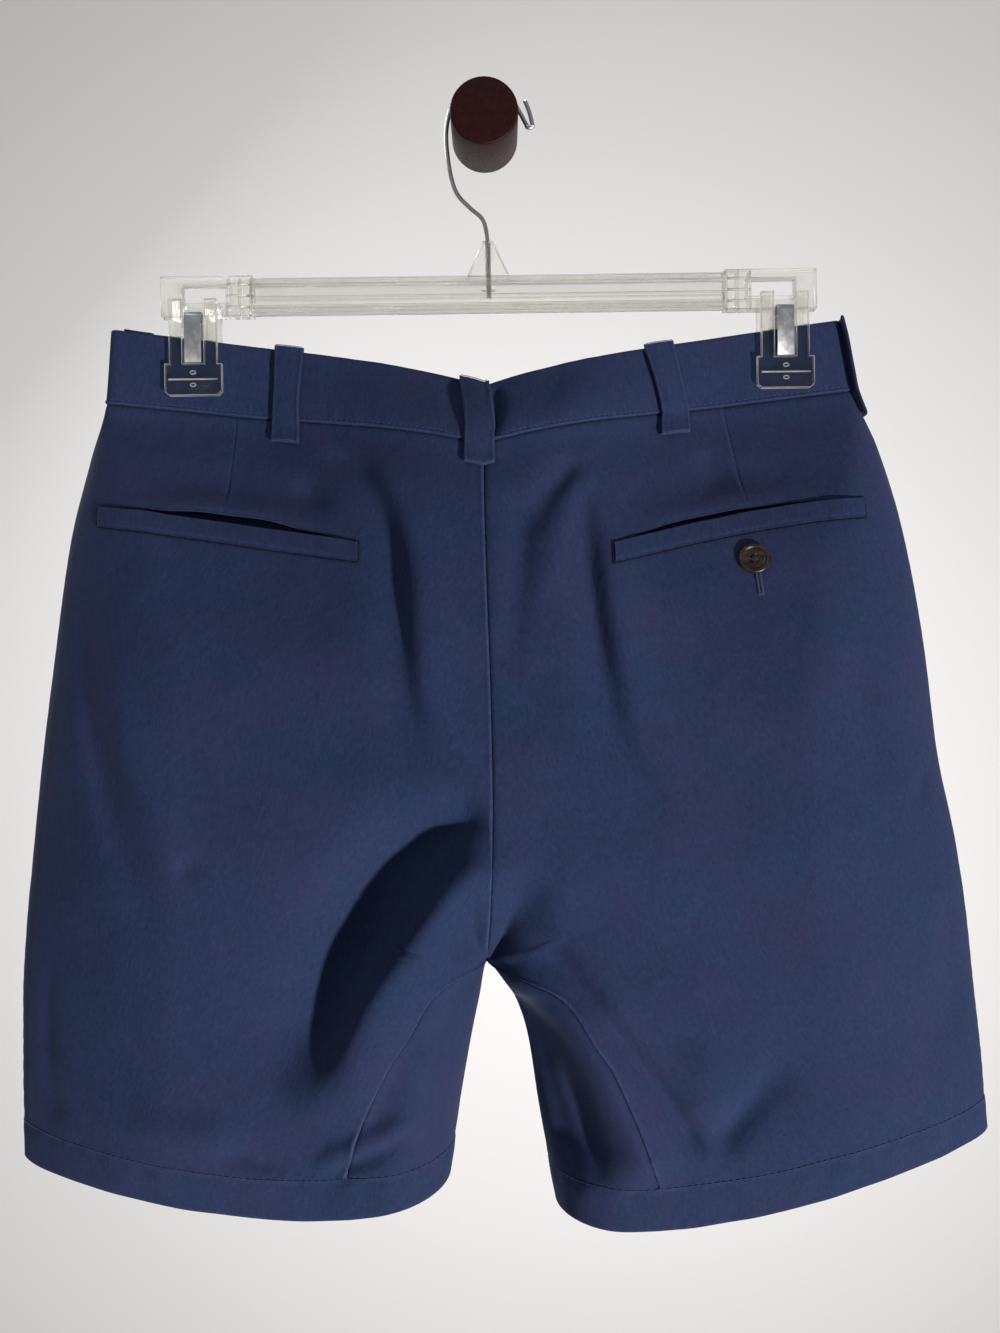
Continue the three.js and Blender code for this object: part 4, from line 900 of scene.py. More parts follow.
def clear_plastic(name, see_through, dull, bright):
    """Moulded clear styrene, slightly milky, with faint flow marks and scuffs."""
    n = Nodes(name)
    scuff = n.noise(n.place, 420, 4.0, 0.7)
    n.set(Base_Color=n.mix(n.noise(n.place, 60), dull, bright))
    n.set(Roughness=n.span(scuff, 0.45, 0.75, 0.04, 0.12), IOR=1.5)
    n.set(Transmission_Weight=see_through, Alpha=0.55 + 0.2 * (1 - see_through))
    return n.material


def metal(name, shade, low, high, grain):
    """Drawn or rolled steel or brass with fine marks."""
    n = Nodes(name)
    marks = n.noise(n.place, grain, 3.0, 0.6)
    n.set(Base_Color=n.mix(marks, shade, darker(shade, 0.8)), Metallic=1.0)
    n.set(Roughness=n.span(marks, 0.3, 0.7, low, high), Normal=n.bump(marks, 0.00005, 0.3))
    return n.material


def lacquer(name):
    """Dark red-brown lacquer on wood, with a faint grain and a soft shine."""
    n = Nodes(name)
    grain = n.noise(n.mapped(n.place, Scale=(1, 0.12, 1)), 260, 4.0, 0.6)
    dust = n.noise(n.place, 900)
    n.set(Base_Color=n.mix(n.span(grain, 0.3, 0.7), colour(30, 7, 9), colour(46, 15, 15)))
    n.set(Roughness=n.span(dust, 0.3, 0.7, 0.42, 0.6), Specular_IOR_Level=0.18)
    n.set(Normal=n.bump(grain, 0.0002, 0.3))
    return n.material


def horn(name):
    """Dark brown resin made to look like horn, with paler streaks."""
    n = Nodes(name)
    streak = n.noise(n.mapped(n.place, Scale=(1, 1, 3)), 190, 3.0)
    n.set(Base_Color=n.mix(n.span(streak, 0.4, 0.7), colour(24, 16, 15), colour(62, 44, 38)))
    n.set(Roughness=n.span(streak, 0.3, 0.7, 0.3, 0.45), Coat_Weight=0.2)
    n.set(Normal=n.bump(streak, 0.0001, 0.2))
    return n.material


# Each twill's last two colours: the faded colour, which also paints highlights on crests, and deep, a
# painted shade colour.
CLOTH = twill("navy_twill", colour(32, 44, 75), colour(49, 45, 78), colour(25, 49, 77),
              colour(66, 82, 130), colour(6, 14, 34))
# The facing is the same navy twill painted lighter than the cloth, a painted fill light for the shaded
# pocket slits; the zip tape uses it too.
LIGHTENED_FACING = twill("facing_twill_lightened", colour(40, 54, 94), colour(46, 54, 92), colour(36, 56, 92),
               colour(70, 84, 130), colour(10, 18, 40))
THREAD = thread("navy_thread", colour(52, 66, 110))
DARK_THREAD = thread("dark_thread", colour(22, 26, 44))
CLEAR = clear_plastic("clear_plastic", 1.0, (0.78, 0.76, 0.69, 1), (0.88, 0.865, 0.81, 1))
# A whiter, less clear copy of the plastic for the clip's edge beads: a painted highlight along the edges.
CLEAR_EDGE_HIGHLIGHT = clear_plastic("clear_plastic_edge_highlight", 0.55, (0.84, 0.84, 0.84, 1), (0.93, 0.93, 0.92, 1))
STEEL = metal("spring_steel", (0.78, 0.79, 0.8, 1), 0.3, 0.48, 300)
WIRE = metal("hook_wire", (0.74, 0.75, 0.76, 1), 0.24, 0.4, 200)
BRASS = metal("zip_brass", (0.55, 0.43, 0.22, 1), 0.3, 0.5, 400)
LACQUER = lacquer("peg_lacquer")
HORN = horn("button_resin")


# ---------------------------------------------------------------- panels

PANEL_LIFT = 0.8
PANEL_SHELL = 1.1
FACING_SHELL = 0.7
PANEL_RUN = HEM_LEVEL * MM_PER_LEVEL
# The rows lie closer just below the crotch, where the legs part.
CROTCH_ROWS = [CROTCH * MM_PER_LEVEL + 1.35 * k for k in range(14)]
# A pocket's welt runs from its outer to its inner end with a bow, and its slit gapes most at widest.
WELT_HEIGHT = 10.5
POCKETS = {
    "left": {"outer": (-197, -209.5), "inner": (-62, -229.5), "bow": 0, "gape": 5.2, "widest": 0.55},
    "right": {"outer": (194, -205), "inner": (64, -230.5), "bow": 3, "gape": 3.2, "widest": 0.72},
}
SLIT_FROM, SLIT_TO = 0.05, 0.96
# Above a slit the cloth is raised this far up, and rows bend to follow it within these levels.
SLIT_REACH = 24
BEND_REACH = 0.085
DARTS = {"left": ((-132, -165), (-132, -214)), "right": ((128, -157), (134, -211))}
# A front pocket's slanted edge, from its place at the band to its level at the side seam.
SLANT_TOP_X = 160
SLANT_LOW = 0.36
FACING_UNDER = 12

# How a panel stands out, and how much lighter or darker it is painted, beside each seam: bells by height,
# distance and width.
# One without a distance is highest on the seam and dies away from it.
SEAM_LIFT = {
    "side": [(-0.7, None, 0.7), (0.25, 2.2, 1.6)],
    "left centre": [(0.34, 1.1, 1.0), (-0.6, None, 0.3)],
    "right centre": [(-0.5, 0, 1.1), (-0.35, None, 0.4), (0.12, 4.5, 2)],
    "front inseam": [(-0.8, None, 0.9)],
    "back inseam": [(0.75, 1.5, 1.5), (-0.9, None, 0.35)],
    "waist": [(-0.7, None, 1.1)],
    "hem": [(-0.15, None, 0.6)],
    "dart": [(-0.34, 0, 0.5), (0.16, 1.4, 1.1)],
}
# Below zero the colour is painted shade, in the hollow beside the right centre seam, the front inseam and
# the dart, under the band and at the hem; above zero it is wear with a painted highlight on the crests.
SEAM_WEAR_AND_PAINTED_LIGHT = {
    "side": [(0.2, 0.9, 0.7)],
    "left centre": [(0.5, 0.7, 0.55)],
    "right centre": [(-0.8, 0, 0.8)],
    "front inseam": [(-0.5, 0, 1.2)],
    "back inseam": [(0.6, 0.7, 0.7)],
    "waist": [(-0.7, None, 1.4)],
    "hem": [(-0.25, None, 0.9)],
    "dart": [(-0.4, 0.2, 0.45), (0.22, 0.9, 0.5)],
}


def seam_profile(rows, distance):
    total = 0
    for height, at, width in rows:
        total = total + height * (np.exp(-distance / width) if at is None else bell(distance - at, width))
    return total


def waves(s, seed, shortest, longest):
    """An uneven row of small rises and falls along a seam, about -1 to 1."""
    draw = np.random.default_rng(seed)
    total = np.zeros(np.shape(s))
    for _ in range(5):
        total += np.cos(2 * np.pi * (s / draw.uniform(shortest, longest) + draw.uniform()))
    swell = 0.6 + 0.4 * np.cos(2 * np.pi * (s / (longest * 4.3) + draw.uniform()))
    return total * swell / 3


def welt_top(pocket, share):
    (x0, z0), (x1, z1) = pocket["outer"], pocket["inner"]
    return x0 + (x1 - x0) * share, z0 + (z1 - z0) * share + pocket["bow"] * np.sin(np.pi * clamp01(share))


def pocket_share(pocket, x):
    return (x - pocket["outer"][0]) / (pocket["inner"][0] - pocket["outer"][0])


def gape_at(pocket, x):
    """Height of the open slit at a place x along the pocket, which is nothing past its two ends."""
    share = pocket_share(pocket, x)
    q = clamp01((share - SLIT_FROM) / (SLIT_TO - SLIT_FROM))
    q = np.where(q < pocket["widest"], q / pocket["widest"], (1 - q) / (1 - pocket["widest"]))
    gape = 0.4 + pocket["gape"] * np.sin(q * np.pi / 2) ** 1.5 * (1 + 0.06 * np.sin(x * 0.16))
    return gape * (smooth(-0.002, 0.01, share) * smooth(-0.002, 0.01, 1 - share))


def slant_line(side):
    """Levels and places along the front pocket's slanted edge."""
    top_x = -SLANT_TOP_X if side == "left" else SLANT_TOP_X
    low_w = read(OUTSEAM, "w", SLANT_LOW)
    top = skin(side, place_at(side, top_x, 0, front=True), 0)[0]
    low = skin(side, low_w, SLANT_LOW)[0]
    share = np.linspace(0, 1, 12)
    x, z = top[0] + (low[0] - top[0]) * share, top[2] + (low[2] - top[2]) * share
    w, v = locate(side, x[:-1], z[:-1], front=True)
    w, v = np.append(w, low_w), np.append(v, SLANT_LOW)
    v[0] = 0
    return v, w


def even_columns(total, step):
    """Distances across rows of the given totals, close by both ends and even between."""
    mean, near = total.mean(), EDGE[-1]
    shape = spaced(mean, step)
    s = near + (shape - near) * ((total - 2 * near) / (mean - 2 * near))
    s = np.where(shape > near + 0.01, s, shape)
    return np.where(shape > mean - near - 0.01, total - (mean - shape), s)


def marked_columns(total, at, step):
    """The same, and also close on both sides of a mark."""
    clear = EDGE[-1] + LINE[-1]
    first = max(2, int((at.mean() - 9) / step))
    second = max(2, int((total.mean() - at.mean() - 9) / step))
    before = EDGE[-1] + (at - clear) * np.linspace(0, 1, first + 2)[1:-1]
    after = at + LINE[-1] + (total - at - clear) * np.linspace(0, 1, second + 2)[1:-1]
    return np.concatenate([np.ones(total.shape) * EDGE, before, at + LINE, after, total - EDGE[::-1]], 1)


def grid_places(side, levels, start, end, step, mark=None, bend=None):
    """Places, levels and distances along the rows of a panel's grid: from its start, to its end and
    from the mark."""
    share = np.linspace(0, 1, 300)
    dense = start(levels)[:, None] * (1 - share) + end(levels)[:, None] * share
    level = np.broadcast_to(levels[:, None], dense.shape)
    points = skin(side, dense, level if bend is None else level + bend(dense, level))[0]
    run = np.zeros(dense.shape)
    run[:, 1:] = np.cumsum(np.linalg.norm(np.diff(points, axis=1), axis=-1), axis=1)
    total = run[:, -1:]
    if mark is None:
        s = even_columns(total, step)
        q = s
    else:
        at = np.array([np.interp(m, d, r) for m, d, r in zip(mark(levels), dense, run)])[:, None]
        s = marked_columns(total, at, step)
        q = s - at
    w = np.array([np.interp(a, r, d) for a, r, d in zip(s, run, dense)])
    level = np.broadcast_to(levels[:, None], w.shape)
    return w, level if bend is None else level + bend(w, level), s, total - s, q


def run_rows(total, step, double=None, exact=()):
    """Distances of a panel's rows from its top. A doubled row lets the cloth part along it."""
    d = spaced(total, step)
    if double is not None:
        d = np.sort(np.concatenate([d[np.abs(d - double) > 4.2], double + LINE, [double]]))
    for place in exact:
        d = np.sort(np.append(d[np.abs(d - place) > 1.3], place))
    return d


def pucker(along, away, seed, height, shortest, longest, fade, clear):
    """Small waves along a seam that die away from it."""
    return height * waves(along, seed, shortest, longest) * np.exp(-away / fade) * smooth(0, clear, away)


def panel_relief(side, front, d, s, t, v):
    """Lifts, and painted wear, shade and highlights, by a panel's seams: s from the side, t from the middle,
    d down from the band.
    """
    upper = v <= CROTCH
    seed = 20 + 2 * SIDES.index(side) + front
    low = PANEL_RUN - d
    inseam = "front inseam" if front else "back inseam"
    lift, wear_and_painted_light = (
        seam_profile(rows["side"], s)
        + np.where(upper, seam_profile(rows[f"{side} centre"], t), seam_profile(rows[inseam], t))
        + seam_profile(rows["waist"], d) + seam_profile(rows["hem"], low)
        for rows in (SEAM_LIFT, SEAM_WEAR_AND_PAINTED_LIGHT))
    lift = lift + pucker(d, t, seed + 5, 0.14, 9, 23, 5, 3)
    lift = lift + pucker(s, d, seed + 6, 0.3, 8, 24, 8, 2)
    lift = lift + pucker(s, low, seed + 7, 0.32, 7, 21, 9, 2)
    return lift, wear_and_painted_light


def inner_edge(way):
    """Place of a panel's inner edge at each level: the centre seam, then the inseam."""
    return lambda v: np.where(v <= CROTCH, way, read(INSEAM, "w", v) + (way - 1))


def panel_piece(node, side, points, faces, s, down, wear_and_painted_light, shell):
    """A shell of cloth that hangs from the waistband."""
    piece = add_piece(f"{node}_cloth", points, faces, "cloth", CLOTH, shell=shell, wear_and_painted_light=wear_and_painted_light,
                      flip=(side == "left") == node.startswith("back"), flat=np.stack([s, -down], -1))
    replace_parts(piece, node)


def open_slit(pocket, points, above, upper):
    """Raises the cloth above a pocket's slit, rolls its lip, and returns how far it gapes."""
    gape = gape_at(pocket, points[..., 0])
    points[..., 2] += np.where(upper, gape * (1 - smooth(0, SLIT_REACH, above)), 0)
    lip = 0.12 * bell(above - 7, 7) - 0.16 * bell(above, 2)
    points[..., 1] -= np.where(upper, gape * lip, 0)
    points[..., 1] += np.where(upper, 0, gape * 0.1 * bell(above, 9))
    return gape


def back_panel(side):
    pocket, (dart_top, dart_end) = POCKETS[side], DARTS[side]
    line_w, line_v = locate(side, *welt_top(pocket, np.linspace(-0.02, 1.02, 30)))
    slit_v = line_v.mean()
    slit = slit_v * MM_PER_LEVEL

    def bend(w, v):
        return (np.interp(w, line_w, line_v) - slit_v) * (1 - smooth(0, BEND_REACH, np.abs(v - slit_v)))

    line = np.linspace(0, 1, 8)
    dart_w, dart_v = locate(side, *(a + (b - a) * line for a, b in zip(dart_top, dart_end)))
    d = run_rows(PANEL_RUN, 2.4, double=slit, exact=CROTCH_ROWS)
    levels = np.clip(d / MM_PER_LEVEL, 0, HEM_LEVEL)
    levels[np.abs(levels - CROTCH) < 1e-9] = CROTCH
    w, v, s, t, q = grid_places(side, levels, lambda v: read(OUTSEAM, "w", v), inner_edge(1), 2.4,
                                mark=lambda v: np.interp(v, dart_v, dart_w), bend=bend)
    points, normal, _ = seam_surface(side, w, v)
    down = np.broadcast_to(d[:, None], w.shape)
    lift, wear_and_painted_light = panel_relief(side, False, down, s, t, v)
    fading = 1 - smooth(dart_v[-1] * 0.8, dart_v[-1] * 1.05, v)
    lift = lift + seam_profile(SEAM_LIFT["dart"], q) * fading
    wear_and_painted_light = wear_and_painted_light + seam_profile(SEAM_WEAR_AND_PAINTED_LIGHT["dart"], q) * fading
    points += normal * (PANEL_LIFT + lift)[..., None]
    row = int(np.argmin(np.abs(d - slit)))
    share = pocket_share(pocket, points[row, :, 0])
    above = slit - down
    upper = np.arange(len(d))[:, None] <= row
    gape = open_slit(pocket, points, above, upper)
    # Painted shade: the cloth is darkened along the lip over a gaping slit.
    wear_and_painted_light += np.where(upper & (gape > 0.5), -0.5 * bell(above, 0.8), 0)
    rows, columns = w.shape
    quads = quads_of(rows, columns)
    shut = (share < 0.003) | (share > 0.995)
    remap = np.arange(rows * columns).reshape(rows, columns)
    remap[row + 1] = np.where(shut, remap[row], remap[row + 1])
    kept = np.concatenate([quads[:row], quads[row + 1:]]).reshape(-1, 4)
    panel_piece(f"back_panel_{side}", side, points, remap.ravel()[kept].tolist(), s, down, wear_and_painted_light,
                PANEL_SHELL)


def front_panel(side):
    slant_v, slant_w = slant_line(side)
    d = run_rows(PANEL_RUN, 2.6, exact=CROTCH_ROWS + [SLANT_LOW * MM_PER_LEVEL])
    levels = np.clip(d / MM_PER_LEVEL, 0, HEM_LEVEL)

    def start(v):
        return np.where(v < SLANT_LOW, np.interp(v, slant_v, slant_w), read(OUTSEAM, "w", v))

    w, v, s, t, _ = grid_places(side, levels, start, inner_edge(-1), 2.6)
    points, normal, _ = seam_surface(side, w, v)
    down = np.broadcast_to(d[:, None], w.shape)
    lift, wear_and_painted_light = panel_relief(side, True, down, s, t, v)
    pocket = 1 - smooth(SLANT_LOW - 0.02, SLANT_LOW, v)
    edge = 0.7 * np.exp(-s / 0.7) + 0.5 * bell(s, 4) - 0.3 * bell(s - 6, 0.5)
    lift = lift + pocket * edge * smooth(0, 10, down)
    points += normal * (PANEL_LIFT + lift)[..., None]
    panel_piece(f"front_panel_{side}", side, points, grid_faces(*w.shape), s, down, wear_and_painted_light,
                PANEL_SHELL)
    sewn = (levels < SLANT_LOW) & (d > 2)
    column = 12
    return points[sewn, column], normal[sewn, column]


def front_facing(side):
    """The cloth that shows in a slanted front pocket, from the side seam to under the slanted edge."""
    slant_v, slant_w = slant_line(side)
    d = run_rows(SLANT_LOW * MM_PER_LEVEL, 3)
    beyond = FACING_UNDER / 240
    w, v, s, _, _ = grid_places(side, d / MM_PER_LEVEL, lambda v: read(OUTSEAM, "w", v),
                                lambda v: np.interp(v, slant_v, slant_w) - beyond, 3)
    points, normal, _ = seam_surface(side, w, v)
    edge_s = s[:, -1:] - FACING_UNDER
    lift = PANEL_LIFT - 0.1 - 0.7 * np.exp(-s / 0.7) - 2.2 * smooth(-7, 1, s - edge_s) * smooth(0, 3, s)
    points += normal * lift[..., None]
    # Painted shade: the facing is darker where it runs under the slanted edge.
    panel_piece(f"front_facing_{side}", side, points, grid_faces(*w.shape), s,
                np.broadcast_to(d[:, None], w.shape), -0.5 * smooth(-3, 3, s - edge_s),
                FACING_SHELL)


# ---------------------------------------------------------------- waistband and hems

# The height of each strip, the radius of its fold, and how far down it some of its rows lie.
BAND_RUN = 39.0
BAND_ROLL = 1.1
BAND_ROWS = [34.3, 35.2, 35.8, 36.2, 36.5, 36.8, 37.2, 37.8, 38.3, 38.7, 39.0]
HEM_RUN = (1 - HEM_LEVEL) * MM_PER_LEVEL
HEM_ROLL = 1.15
HEM_ROWS = [0, 0.4, 0.8, 1.3, 2, 3, 4.5, 6.5, 9, 11.5, 14, 16.5, 18.5, HEM_RUN - HEM_ROLL]
HALF_TURN = np.linspace(0, math.pi, 9)[1:-1]
STITCH_UP = 2.5


def as_sheet(piece, node, size, on, held="hung", **more):
    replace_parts(piece, node)


def ring_places(side, start, end, v, step, closed):
    """Evenly spaced places along a strip's length, and the distance of each."""
    dense = np.linspace(start, end, 1200)
    run = lengths(skin(side, dense, np.full(1200, v))[0])
    if closed:
        s = run[-1] * np.arange(int(run[-1] / step)) / int(run[-1] / step)
    else:
        s = spaced(run[-1], step)
    return np.interp(s, run, dense), s


def strip_piece(node, side, w, s, rows, band, from_d, flip, size, on):
    """A folded strip along places w. A row has its level, lift, step down the cloth and its painted wear and
    shade.
    """
    v, lift, step, wear_and_painted_light = (np.array([row[k] + 0 * w for row in rows]) for k in range(4))
    base, normals, down = seam_surface(side, np.ones((len(rows), 1)) * w, v, band)
    points = base + normals * lift[..., None] + down * step[..., None]
    across = np.concatenate([[0], np.cumsum(np.linalg.norm(np.diff(points, axis=0), axis=-1).mean(1))])
    flat = np.stack(np.meshgrid(s, -from_d - across), -1)
    faces = grid_faces(*points.shape[:2], closed=not band)
    piece = add_piece(f"{node}_{side}_cloth", points, faces, "cloth", CLOTH, flip=flip, flat=flat, wear_and_painted_light=wear_and_painted_light)
    as_sheet(piece, f"{node}_{side}", size, on)
    return points, normals


def waistband(side):
    w, s = ring_places(side, 1.0, -1.0, -0.05, 2.4, closed=False)
    seed = 50 + SIDES.index(side)
    outer_d = np.concatenate([spaced(33, 3.2, np.array([BAND_ROLL, 2.2, 4])), BAND_ROWS])

    def level(d):
        return BAND_TOP - d / BAND_RUN * BAND_TOP

    tuck = 0.5 * (1 - np.sqrt(1 - (1 - clamp01(from_ends(s) / 0.8)) ** 2))
    fold = 0.16 * waves(s, seed + 3, 9, 27)
    low_waves, high_waves = waves(s, seed, 7, 19), waves(s, seed + 1, 9, 25)
    rows = [(level(d), -BAND_ROLL, 0, -0.1) for d in np.linspace(BAND_RUN, BAND_ROLL, 12)]
    for angle in HALF_TURN[::-1]:
        rows.append((level(BAND_ROLL), BAND_ROLL * math.cos(angle) + fold * math.sin(angle) - tuck,
                     -BAND_ROLL * math.sin(angle), 0.14 * math.sin(angle) ** 2))
    for d in outer_d:
        up = BAND_RUN - d
        rise = 0.22 * low_waves * bell(up - 7, 6) + 0.13 * high_waves * bell(d - 5, 5)
        lower = 0.5 * bell(up - 1.1, 1.6) - 0.35 * bell(up - STITCH_UP, 0.5) - 0.9 * bell(up, 0.35)
        # Painted shade darkens the band's lower edge and its stitch line; the crest just above is lighter,
        # worn with a painted highlight.
        lightness = 0.36 * bell(up - 0.8, 0.45) - 0.6 * bell(up, 0.3) - 0.2 * bell(up - STITCH_UP, 0.4)
        rows.append((level(d), BAND_ROLL + 0.1 + rise + lower - tuck * 2, 0, lightness))
    # Painted shade: the last row, where the band meets the panel, is dark.
    rows.append((level(BAND_RUN), 0.2, 0, -0.8))
    points, normals = strip_piece("waistband", side, w, s, rows, True, 0, side == "right",
                                  (0.412, 0.090), "hanger_bar")
    stitched = len(rows) - 1 - int(np.sum(outer_d > BAND_RUN - STITCH_UP - 0.05))
    return points[stitched], normals[stitched]


def hem(side):
    w, s = ring_places(side, -0.24, 1.76, 0.97, 2.3, closed=True)
    turn = 2 * np.pi * s / (s[-1] + s[1])
    close = 0.3 * np.cos(turn * 31 + 2.5 * np.sin(turn * 3))
    broad = 0.25 * np.cos(turn * 19 + 3 * np.sin(turn * 2 + 1))
    rows = []
    for d in HEM_ROWS:
        rise = (close * bell(d - 3, 5) + broad * bell(d - 8, 8)) * smooth(0, 2, d)
        lift = 0.85 + 0.35 * smooth(0, 8, d) - 0.2 * bell(d, 0.55) + rise
        lightness = 0.1 * bell(d, 0.5) + 0.14 * bell(d - 1.4, 0.8) + 0.12 * bell(d - HEM_RUN, 1.4)
        rows.append((HEM_LEVEL + d / MM_PER_LEVEL, lift, 0, lightness))
    for angle in HALF_TURN:
        rows.append((1 - HEM_ROLL / MM_PER_LEVEL, HEM_ROLL * math.cos(angle), HEM_ROLL * math.sin(angle),
                     0.18 * math.sin(angle)))
    for d in np.linspace(HEM_RUN - HEM_ROLL, 0.5, 9):
        rows.append((HEM_LEVEL + d / MM_PER_LEVEL, -HEM_ROLL, 0, 0))
    points, normals = strip_piece("hem", side, w, s, rows, False, PANEL_RUN, side == "left",
                                  (0.560, 0.045), f"back_panel_{side}_cloth")
    closed = list(range(len(s))) + [0]
    return points[1][closed], normals[1][closed]


# ---------------------------------------------------------------- pieces laid on the panels

LOOP_WIDTH = 16
LOOPS = {
    "belt_loop_centre_back": {"x": -5, "slant": 3, "rise": 0.1, "front": False},
    "belt_loop_back_left": {"x": -103, "slant": -1, "rise": 1.6, "front": False},
    "belt_loop_back_right": {"x": 92, "slant": 8, "rise": 1.2, "front": False},
    "belt_loop_side_left": {"x": -187, "slant": -1, "rise": 3, "front": True},
    "belt_loop_front_left": {"x": -100, "slant": 0, "rise": 2, "front": True},
    "belt_loop_front_right": {"x": 98, "slant": 0, "rise": 2, "front": True},
}
# How far a loop stands off the cloth, level by level.
LOOP_STAND = table("v stand", [(-0.1, 0.2), (-0.065, 0.9), (-0.03, 0.9), (0, 0.4), (0.03, 0)])
LOOP_RUN = 50.5
LOOP_LOW = 0.034
LOOP_LIFT = 2.5
LOOP_THICK = 2.0
LOOP_STITCH = 2.1
FOLD_LOOP_Y = -20
FOLD_LOOP_OFF = 1.5


def laid(xs, vs, front):
    """Surface points and normals at places x and levels v, on whichever side each x is."""
    points, normals = np.zeros(xs.shape + (3,)), np.zeros(xs.shape + (3,))
    for side in SIDES:
        mine = (xs < 0.2) == (side == "left")
        if not mine.any():
            continue
        v = vs[mine]
        w = np.zeros(v.shape)
        for level in np.unique(v):
            w[v == level] = place_at(side, xs[mine][v == level], level, front)
        on_band = (v <= 0)[:, None]
        band = surface(side, w, np.minimum(v, 0), band=True)
        body = surface(side, w, np.maximum(v, 0))
        points[mine] = np.where(on_band, band[0], body[0])
        normals[mine] = np.where(on_band, band[1], body[1])
    return points, normals


def loop_grid(rise):
    """Distances down and across a belt loop, and the levels of its rows."""
    fall = LOOP_RUN + rise
    down = spaced(fall, 2.6, RIM)
    level = BAND_TOP + np.maximum(down - rise, 0) / (fall - rise) * (LOOP_LOW - BAND_TOP)
    return down, spaced(LOOP_WIDTH, 1.3, RIM), level


def loop_piece(name, points, normals, across, down, wear_and_painted_light, on):
    # Painted shade in the stitch grooves along the loop's long edges.
    painted_groove_shade = -0.3 * bell(from_ends(across)[None, :] - LOOP_STITCH, 0.5)
    piece = slab_piece(f"{name}_cloth", points, normals, across, down, LOOP_THICK, 1.0, wear_and_painted_light + painted_groove_shade)
    as_sheet(piece, name, (0.0165, 0.053), on)


def belt_loop(name, loop):
    """A strip folded to two layers, topstitched by its long edges and turned under at its ends."""
    rise = loop["rise"]
    down, across, level = loop_grid(rise)
    width = 1 - 0.09 * np.sin(np.pi * clamp01(down / down[-1])) ** 2
    lateral = (across - LOOP_WIDTH / 2)[None, :] * width[:, None]
    xs = loop["x"] + (loop["slant"] * clamp01(1 - level / BAND_TOP))[:, None] + lateral
    vs = np.broadcast_to(level[:, None], xs.shape)
    points, normals = laid(xs, vs, loop["front"])
    normals = unit(normals + normals.mean(1, keepdims=True))
    edge, end = from_ends(across)[None, :], from_ends(down)[:, None]
    crown = 0.22 * smooth(2, 7, edge) - 0.3 * bell(edge - LOOP_STITCH, 0.45)
    sway = 0.35 * bell(end - 2.0, 1.6) + 0.1 * np.sin(down / 5)[:, None]
    points += normals * (LOOP_LIFT + read(LOOP_STAND, "stand", vs) + crown + sway)[..., None]
    points[..., 2] += np.maximum(rise - down, 0)[:, None]
    # Worn lighter by the edges and ends, with painted shade at the very edges.
    wear_and_painted_light = 0.24 * bell(edge - 0.7, 0.5) + 0.3 * bell(end - 0.6, 0.7) - 0.4 * bell(edge, 0.3)
    loop_piece(name, points, normals, across, down, wear_and_painted_light, "waistband_left_cloth")
    middle = slice(4, -4)
    stitches = []
    for place in (LOOP_STITCH, across[-1] - LOOP_STITCH):
        column = np.argmin(np.abs(across - place))
        path, normal = points[middle, column], normals[middle, column]
        stitches += stitch_row(path + normal * 0.75, normal, radius=0.17)
    for row in (2, -4):
        for shift in (-0.35, 0.35):
            normal = normals[row, middle]
            path = points[row, middle] + normal * 1.0 + (0, 0, shift)
            stitches += stitch_row(path, normal, length=1.2, gap=0.2)
    return stitches


def fold_loop():
    """The loop at the right side stands on edge round the fold of the band."""
    rise = 1
    down, across, level = loop_grid(rise)
    fold = skin("right", np.zeros(len(level)), level)[0]
    off = FOLD_LOOP_OFF + read(LOOP_STAND, "stand", level) + smooth(-0.01, 0.03, level)
    lateral = across - LOOP_WIDTH / 2
    edge = from_ends(across)[None, :]
    wrap = 1.6 * (np.abs(lateral) / (LOOP_WIDTH / 2)) ** 2.5
    points = np.zeros((len(down), len(across), 3))
    points[..., 0] = (fold[:, 0] + off)[:, None] - wrap[None, :] - 0.3 * bell(edge - LOOP_STITCH, 0.45)
    points[..., 1] = FOLD_LOOP_Y + lateral[None, :]
    points[..., 2] = (fold[:, 2] + np.maximum(rise - down, 0))[:, None]
    normals = unit(np.cross(np.gradient(points, axis=1), np.gradient(points, axis=0)))
    normals *= np.sign(normals[..., :1])
    # Painted shade along the loop's long edges.
    loop_piece("belt_loop_side_right", points, normals, across, down, -0.5 * bell(edge, 1.5),
               "waistband_right_cloth")


